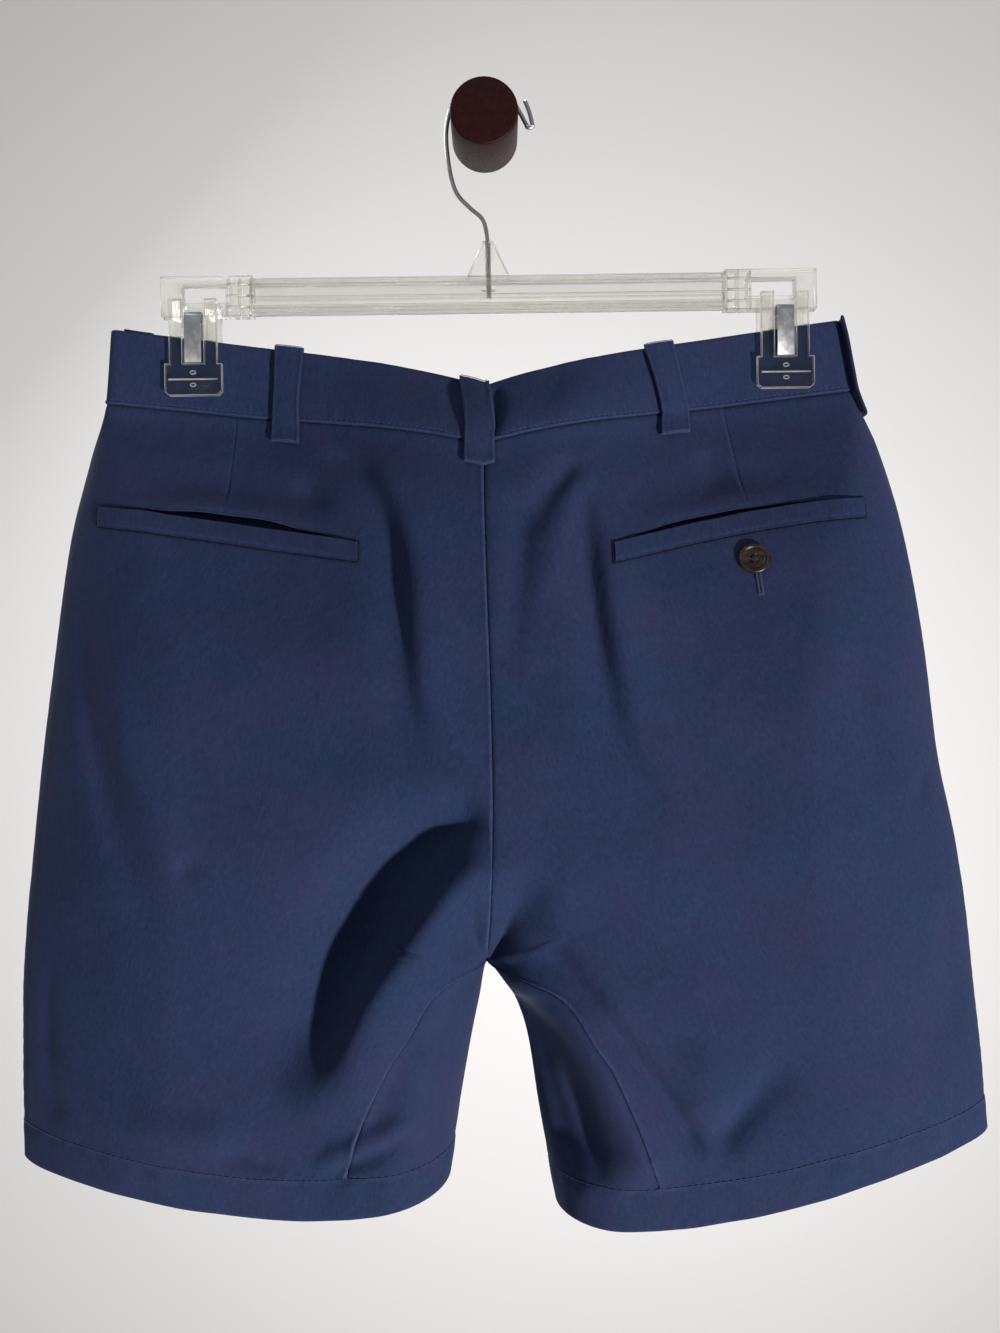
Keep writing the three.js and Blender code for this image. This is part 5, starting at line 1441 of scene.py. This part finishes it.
def back_welt(side):
    """A narrow folded strip: its free folded edge is at the top, and its ends and foot are sewn."""
    pocket = POCKETS[side]
    length = math.dist(pocket["outer"], pocket["inner"])
    across, down = spaced(length, 2.2, RIM), spaced(WELT_HEIGHT, 1.2, RIM)
    share, fall = np.meshgrid(across / length, down)
    x, z = welt_top(pocket, share)
    edge = np.minimum(share, 1 - share) * length
    foot = WELT_HEIGHT - fall
    open_lip = smooth(2, 12, edge)
    free = 1 - fall / WELT_HEIGHT
    sag = 0.35 * waves(share * length, 70 + SIDES.index(side), 18, 46) * open_lip * free
    lift = 1.35 + 0.75 * free * open_lip - 0.3 * bell(foot - 1.2, 0.5)
    points, normals = patch(side, x, z - fall + sag * 0.8, lift + 0.1 * sag)
    wear_and_painted_light = 0.16 * bell(fall - 0.6, 0.6) + 0.14 * bell(foot - 1.1, 0.6)
    # Painted shade: a dark line round the welt's foot and ends, where it meets the panel.
    wear_and_painted_light = wear_and_painted_light - 0.9 * bell(foot, 0.5) - 0.9 * bell(edge, 0.5)
    piece = slab_piece(f"back_welt_{side}_cloth", points, normals, across, down, 1.3, 0.7, wear_and_painted_light)
    as_sheet(piece, f"back_welt_{side}", (0.137, 0.0112), f"back_panel_{side}_cloth", held="stretched")
    ends = []
    for column in (3, -4):
        normal = normals[2:-2, column]
        ends += stitch_row(points[2:-2, column] + normal * 0.65, normal, length=1.1, gap=0.25, radius=0.17)
    # A dark cloth tube round the welt's foot and ends is a painted shadow in the ditch there.
    part = np.concatenate([np.zeros(8), np.linspace(0, 1, 60), np.ones(8)])
    sunk = np.concatenate([np.linspace(0, 1, 8), np.ones(60), np.linspace(1, 0, 8)])
    x, z = welt_top(pocket, part)
    x = x + (part - 0.5) * 0.8 * np.sign(pocket["inner"][0] - pocket["outer"][0])
    verts, faces = tube(patch(side, x, z - sunk * (WELT_HEIGHT + 0.5), 1.0)[0], 0.45)
    add_piece(f"back_welt_{side}_ditch_shadow", verts, faces, "cloth", CLOTH, wear_and_painted_light=np.full(len(verts), -0.9))
    return ends


def back_facing(side):
    """The cloth that shows in the gaping slit, hanging a little way behind it."""
    pocket = POCKETS[side]
    length = math.dist(pocket["outer"], pocket["inner"])
    height, above = 22, 13
    across, down = spaced(length * 0.96, 3, RIM), spaced(height, 1.6, RIM)
    share, fall = np.meshgrid(0.02 + 0.96 * across / across[-1], down)
    x, z = welt_top(pocket, share)
    belly = np.sin(np.pi * clamp01(share)) * np.sin(np.pi * clamp01(fall / height))
    lift = -1.7 - 2.6 * belly + 0.3 * waves(share * length, 80 + SIDES.index(side), 14, 37) * belly
    points, normals = patch(side, x, z + above - fall, lift)
    # The facing is painted lighter than the cloth, a painted fill light in the slit's shade.
    piece = slab_piece(f"back_facing_{side}_cloth", points, normals, across, down, 1.0, 0.5,
                       slot="facing", material=LIGHTENED_FACING)
    as_sheet(piece, f"back_facing_{side}", (0.133, 0.024), f"back_panel_{side}_cloth")


FLY_CENTRE = -1.2
FLY_WIDTH = 36
FLY_RUN = 121
FLY_TOP, FLY_CORNER, FLY_LOW = -197, -290, -318
FLY_STRAIGHT = 0.35
FLY_STITCH = 0.125
ZIP_WIDTH = 11
ZIP_RUN = 109
ZIP_LOW = -306
TOOTH_PITCH = 1.7


def fly_places(share, fall):
    beyond = clamp01((1 - share - FLY_STRAIGHT) / (1 - FLY_STRAIGHT))
    low = FLY_CORNER + (FLY_LOW - FLY_CORNER) * np.sqrt(1 - beyond ** 2)
    return FLY_CENTRE - (1 - share) * FLY_WIDTH, FLY_TOP + (low - FLY_TOP) * fall


def fly():
    """The flap over the zip on the left front, with a rounded lower corner and its J of stitches."""
    across, down = spaced(FLY_WIDTH, 1.8, RIM), spaced(FLY_RUN, 2.6, RIM)
    share, fall = np.meshgrid(across / across[-1], down / down[-1])
    lift = 1.75 + 0.15 * waves(fall * FLY_RUN, 91, 12, 31) - 0.3 * bell(share * FLY_WIDTH - 4.5, 0.5)
    points, normals = patch("left", *fly_places(share, fall), lift, front=True)
    edge = np.minimum(share, 1 - share) * FLY_WIDTH
    wear_and_painted_light = 0.4 * bell(edge - 0.5, 0.7) + 0.3 * bell((1 - fall) * FLY_RUN - 0.5, 0.7)
    piece = slab_piece("fly_cloth", points, normals, across, down, 1.2, 0.7, wear_and_painted_light)
    as_sheet(piece, "fly", (0.038, 0.124), "waistband_left_cloth", area=0.0043)
    share = np.concatenate([np.full(30, FLY_STITCH), np.linspace(FLY_STITCH, 0.96, 24)])
    fall = np.concatenate([np.linspace(0.02, 0.93, 30), np.full(24, 0.955)])
    return stitch_row(*patch("left", *fly_places(share, fall), np.full(len(share), 2.35), front=True))


def zip_tape():
    """The closed zip behind the fly: a tape, a row of brass teeth and the slider at its top."""
    across, down = spaced(ZIP_WIDTH, 1.5, RIM), spaced(ZIP_RUN, 3, RIM)
    share, fall = np.meshgrid(across / across[-1], down / down[-1])
    x = FLY_CENTRE - (1 - share) * ZIP_WIDTH
    z = FLY_TOP + (ZIP_LOW - FLY_TOP) * fall
    points, normals = patch("left", x, z, np.full(x.shape, -1.9), front=True)
    tape = slab_piece("zip_tape", points, normals, across, down, 0.9, 0.5, slot="facing", material=LIGHTENED_FACING)
    z = np.arange(FLY_TOP - 3, ZIP_LOW + 3, -TOOTH_PITCH)
    x = np.full(len(z), FLY_CENTRE - ZIP_WIDTH / 2)
    spots, _ = patch("left", x, z, np.full(len(z), -2.9), front=True)
    tooth = np.array([[-1.6, 0, 0], [-0.4, 0, 0], [1.0, 0, 0]])
    teeth = [tube(spot + tooth * (1 if k % 2 else -1), 0.55, sides=6) for k, spot in enumerate(spots)]
    slider = np.array([[0, -0.6, 3], [0, -1.1, 0], [0, -0.8, -6]])
    teeth.append(tube(spots[0] + slider, 1.7, sides=10))
    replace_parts(add_piece("zip_teeth", *joined(teeth), "zip", BRASS), "zip")


# ---------------------------------------------------------------- buttons

# A button's outline, from the middle of its face round to its back: shares of its radius and depth.
BUTTON_OUTLINE = [
    (0.02, 0.58), (0.2, 0.56), (0.42, 0.55), (0.6, 0.58), (0.7, 0.72), (0.78, 0.93), (0.87, 1.0),
    (0.95, 0.9), (1.0, 0.68), (0.99, 0.4), (0.93, 0.12), (0.85, 0.0), (0.5, 0.0), (0.02, 0.0),
]
BUTTON_SIDES = 96
STRAND_REACH = np.array([-1, -0.92, -0.6, 0, 0.6, 0.92, 1])
STRAND_SHIFTS = (-0.34, 0.02, 0.36)


def lathe_button(radius, thickness, hole, hole_off, turn):
    """A button with a rolled rim, a dished middle and four holes, its axis along +Z."""
    profile = spline(BUTTON_OUTLINE)
    angle = np.arange(BUTTON_SIDES) * 2 * np.pi / BUTTON_SIDES
    r, h = profile[:, :1] * radius, profile[:, 1:] * thickness
    verts = np.stack([r * np.cos(angle), r * np.sin(angle), h + 0 * angle], -1)
    for k in range(4):
        a = turn + np.pi / 4 + k * np.pi / 2
        gap = np.hypot(verts[..., 0] - hole_off * math.cos(a), verts[..., 1] - hole_off * math.sin(a))
        sunk = (1 - smooth(hole * 0.55, hole * 1.05, gap)) * (verts[..., 2] > 0.3 * thickness)
        verts[..., 2] -= sunk * 0.5 * thickness
    last = (len(profile) - 1) * BUTTON_SIDES
    ends = [list(range(BUTTON_SIDES))[::-1], [last + k for k in range(BUTTON_SIDES)]]
    return verts.reshape(-1, 3), grid_faces(len(profile), BUTTON_SIDES, closed=True) + ends


def add_button(name, place, normal, radius, thickness, hole, hole_off, turn):
    """A sewn button at a place, facing along a normal, with its two pairs of holes laced."""
    verts, faces = lathe_button(radius, thickness, hole, hole_off, turn)
    facing = np.array(Vector(normal).to_track_quat("Z", "Y").to_matrix())
    piece = add_piece(f"{name}_resin", verts @ facing.T + place, faces, "button", HORN)
    orient(piece)
    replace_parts(piece, name)
    strands = []
    for k in range(2):
        a = turn + np.pi / 4 + k * np.pi / 2
        way, side = np.array([math.cos(a), math.sin(a), 0]), np.array([-math.sin(a), math.cos(a), 0])
        rise = thickness * 0.56 + np.array([-0.6, 0.05, 0.3, 0.42 + 0.18 * k, 0.3, 0.05, -0.6])
        for shift in STRAND_SHIFTS:
            path = STRAND_REACH[:, None] * hole_off * way + shift * side + rise[:, None] * (0, 0, 1)
            strands.append(tube(path, 0.2, sides=6))
    verts, faces = joined(strands)
    add_piece(f"{name}_thread", verts @ facing.T + place, faces, "button", DARK_THREAD)


def buttonhole(side, x, top, low, lift, lean):
    """A worked buttonhole: two close rows of thread round a slit, with bars at its ends."""
    across = np.array([0.25, 0.6, 0.95, 1.25, 1.4])
    rows = []
    for way in (-1, 1):
        for z in np.arange(top, low, -0.62):
            row_x = x + lean * (top - z) / (top - low) + way * across
            rows.append((row_x, np.full(5, z + 0.1 * way), [-0.25, 0.1, 0.14, 0.02, -0.3]))
    for z in (low - 0.2, low - 0.75, top + 0.4):
        rows.append((x + lean + np.linspace(-1.5, 1.5, 5), np.full(5, z), [-0.3, 0.15, 0.25, 0.15, -0.3]))
    xs, zs, rises = (np.array([row[k] for row in rows]) for k in range(3))
    return [tube(path, 0.25, sides=6) for path in patch(side, xs, zs, lift + rises)[0]]


# ---------------------------------------------------------------- building the shorts

WAIST_BUTTON_X = -10
WAIST_BUTTON_V = -0.05


def stitch_piece(name, parts):
    add_piece(name, *joined(parts), "cloth", THREAD)


def build_shorts():
    runs = []
    for side in SIDES:
        path, normal = waistband(side)
        runs += stitch_row(path + normal * 0.05, normal)
    for side in SIDES:
        back_panel(side)
        path, normal = front_panel(side)
        runs += stitch_row(path + normal * 0.05, normal)
        front_facing(side)
    stitch_piece("waist_stitches", runs)
    for side in SIDES:
        path, normal = hem(side)
        stitch_piece(f"hem_stitches_{side}", stitch_row(path + normal * 0.2, normal, length=2.6, gap=0.7))
    loops = []
    for name, loop in LOOPS.items():
        loops += belt_loop(name, loop)
    stitch_piece("belt_loop_stitches", loops)
    fold_loop()
    tacks = []
    for side in SIDES:
        tacks += back_welt(side)
        back_facing(side)
    stitch_piece("welt_tacks", tacks)
    stitch_piece("fly_stitches", fly())
    zip_tape()
    place, normal = patch("right", np.array([135.2]), np.array([-238.0]), np.array([1.1]))
    add_button("back_pocket_button", place[0], normal[0], 8, 2.2, 0.95, 1.75, 0.15)
    stitch_piece("back_buttonhole", buttonhole("right", 135.6, -233.5, -255.5, 1.15, 1.6))
    w = place_at("left", WAIST_BUTTON_X, WAIST_BUTTON_V, front=True)
    place, normal, _ = surface("left", np.array([w]), np.array([WAIST_BUTTON_V]), band=True)
    add_button("waist_button", (place + normal * 1.5)[0], normal[0], 8.5, 2.8, 1.0, 1.95, 0.3)


# ---------------------------------------------------------------- hanger and peg

HANGER_PIVOT = (2.2, -82.6)
HANGER_TILT = math.radians(0.75)
HANGER_Y = -20
BAR_RIBS = [(-83.4, 0.55), (-92.6, 0.6), (-97.2, 0.5), (-100.4, 0.6)]
BAR_ENDS = (-124, 128.4)
BAR_HALF_DEPTH = 3.4
SLEEVE_X = (127, 133, 139.5)
SLEEVE_RIB_Z = (-86, -92, -98)
# The outline of the sleeve's rings, across and up.
SLEEVE_RING = [(-4.2, -84.5), (-3.2, -82), (3.2, -82), (4.2, -84.5), (4.2, -99.5), (3.2, -102),
               (-3.2, -102), (-4.2, -99.5), (-4.2, -84.5)]
STEM_SLOT_Z = -90.8
PAD_X = 157.3
PAD_FACE = -27.4
PAD_RIB_Z = -136.8
PAD_BOSS_Z = (-133.2, -139.8)
HOOK_RADIUS = 19.6
HOOK_STEM = [(2.2, -93.5), (2.2, -86), (2.2, -76), (1.8, -64), (-0.6, -52), (-7.4, -45.5), (-14.4, -38),
             (-18, -28), (-20, -15), (-20.4, -4)]
HOOK_TIP = (24.2, -0.6)
HOOK_TIP_RADIUS = 1.6
HOOK_END = [(24.2, 6), (21.8, 12.2)]


def simple_mesh(node):
    """A CAD node's form for editing, without its needless points and edges."""
    work = bmesh.new()
    work.from_mesh(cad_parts[node].data)
    bmesh.ops.remove_doubles(work, verts=work.verts, dist=1e-5)
    bmesh.ops.dissolve_limit(work, angle_limit=math.radians(2), verts=work.verts, edges=work.edges)
    return work


def copied(node, name, material, bevel, segments=2, rise=0):
    """A piece with the form of a CAD node and softened edges."""
    work = simple_mesh(node)
    bmesh.ops.translate(work, verts=work.verts, vec=(0, 0, rise * MM))
    mesh = bpy.data.meshes.new(name)
    work.to_mesh(mesh)
    work.free()
    mesh.materials.append(material)
    mesh.polygons.foreach_set("material_index", [0] * len(mesh.polygons))
    mesh.shade_smooth()
    piece = add_object(name, mesh)
    soft = piece.modifiers.new("soft_edges", "BEVEL")
    soft.width = bevel * MM
    soft.segments = segments
    soft.limit_method = "ANGLE"
    soft.angle_limit = math.radians(28)
    soft.harden_normals = True
    ride(piece)
    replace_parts(piece, node)


def edge_beads(node, radius, sharp=50):
    """Thin beads along the sharp edges of a CAD node: moulded plastic is brightest there."""
    work = simple_mesh(node)
    beads = []
    for edge in work.edges:
        if len(edge.link_faces) == 2 and edge.calc_face_angle() > math.radians(sharp):
            ends = np.array([np.array(vert.co) / MM for vert in edge.verts])
            if np.linalg.norm(ends[1] - ends[0]) > 0.3:
                beads.append(tube(ends, radius, sides=6))
    work.free()
    return beads


def hung(points):
    """Points of the level hanger, where it hangs: a little higher on the right."""
    points = np.array(points, float)
    x, z = points[:, 0] - HANGER_PIVOT[0], points[:, 2] - HANGER_PIVOT[1]
    points[:, 0] = HANGER_PIVOT[0] + x * math.cos(HANGER_TILT) - z * math.sin(HANGER_TILT)
    points[:, 2] = HANGER_PIVOT[1] + z * math.cos(HANGER_TILT) + x * math.sin(HANGER_TILT)
    return points


def bar_beads():
    """Ribs along the bar, rings where it enters the end frames, and a slot's rim below the stem."""
    paths = []
    for z, radius in BAR_RIBS:
        for y in (-BAR_HALF_DEPTH, BAR_HALF_DEPTH):
            paths.append(([(x, HANGER_Y + y, z) for x in np.linspace(*BAR_ENDS, 12)], radius))
    for way in (-1, 1):
        places = [HANGER_PIVOT[0] + way * x for x in SLEEVE_X]
        paths += [([(x, HANGER_Y + y, z) for y, z in SLEEVE_RING], 0.6) for x in places]
        paths += [([(x, HANGER_Y - 4.4, z) for x in places], 0.8) for z in SLEEVE_RIB_Z]
    paths.append(([(x, HANGER_Y - 3.8, STEM_SLOT_Z) for x in (-1.5, 2.2, 5.9)], 0.6))
    return [tube(hung(path), radius) for path, radius in paths]


def pad_beads(side):
    """A rib and two small bosses on the near face of a clip's pad."""
    middle = HANGER_PIVOT[0] + (-PAD_X if side == "left" else PAD_X)
    beads = [tube(hung([(middle + x, PAD_FACE, PAD_RIB_Z) for x in (-13, -5, 5, 13)]), 0.5)]
    turn = np.linspace(0, 2 * np.pi, 9)
    for z in PAD_BOSS_Z:
        ring = np.stack([middle + 1.5 * np.cos(turn), np.full(9, PAD_FACE), z + 0.9 * np.sin(turn)], -1)
        beads.append(tube(hung(ring), 0.35, sides=6))
    return beads


def arc(centre, radius, start, end, count):
    """Points round a centre, from one angle in degrees to another."""
    return [(centre[0] + radius * math.cos(a), centre[1] + radius * math.sin(a))
            for a in np.radians(np.linspace(start, end, count))]


def hanger_hook():
    """Sprung wire: up from the bar, over the peg and back on itself at its tip."""
    path = HOOK_STEM + arc((0, 0), HOOK_RADIUS, 165, 28, 12)
    path += arc(HOOK_TIP, HOOK_TIP_RADIUS, 180, 360, 8) + HOOK_END
    line = spline(path, 7)
    points = np.stack([line[:, 0], np.full(len(line), HANGER_Y), line[:, 1]], -1)
    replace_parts(add_piece("hanger_hook_wire", *tube(points, 1.15, sides=16), "steel", WIRE), "hanger_hook")


def build_hanger():
    copied("hanger_bar", "hanger_bar_moulding", CLEAR, 0.45)
    add_piece("hanger_bar_beads", *joined(edge_beads("hanger_bar", 0.22) + bar_beads()), "clear", CLEAR)
    for side in SIDES:
        for layer in ("back", "front"):
            copied(f"clip_{side}_{layer}_jaw", f"clip_{side}_{layer}_moulding", CLEAR, 0.5)
        beads = edge_beads(f"clip_{side}_back_jaw", 0.2) + pad_beads(side)
        # The clip's beads take the whiter edge plastic: a painted highlight along its edges.
        add_piece(f"clip_{side}_beads", *joined(beads), "clear", CLEAR_EDGE_HIGHLIGHT)
        copied(f"clip_{side}_spring", f"clip_{side}_spring_steel", STEEL, 0.12, rise=3)
    hanger_hook()
    copied("wall_peg", "wall_peg_wood", LACQUER, 0.5, 3)


build_shorts()
build_hanger()
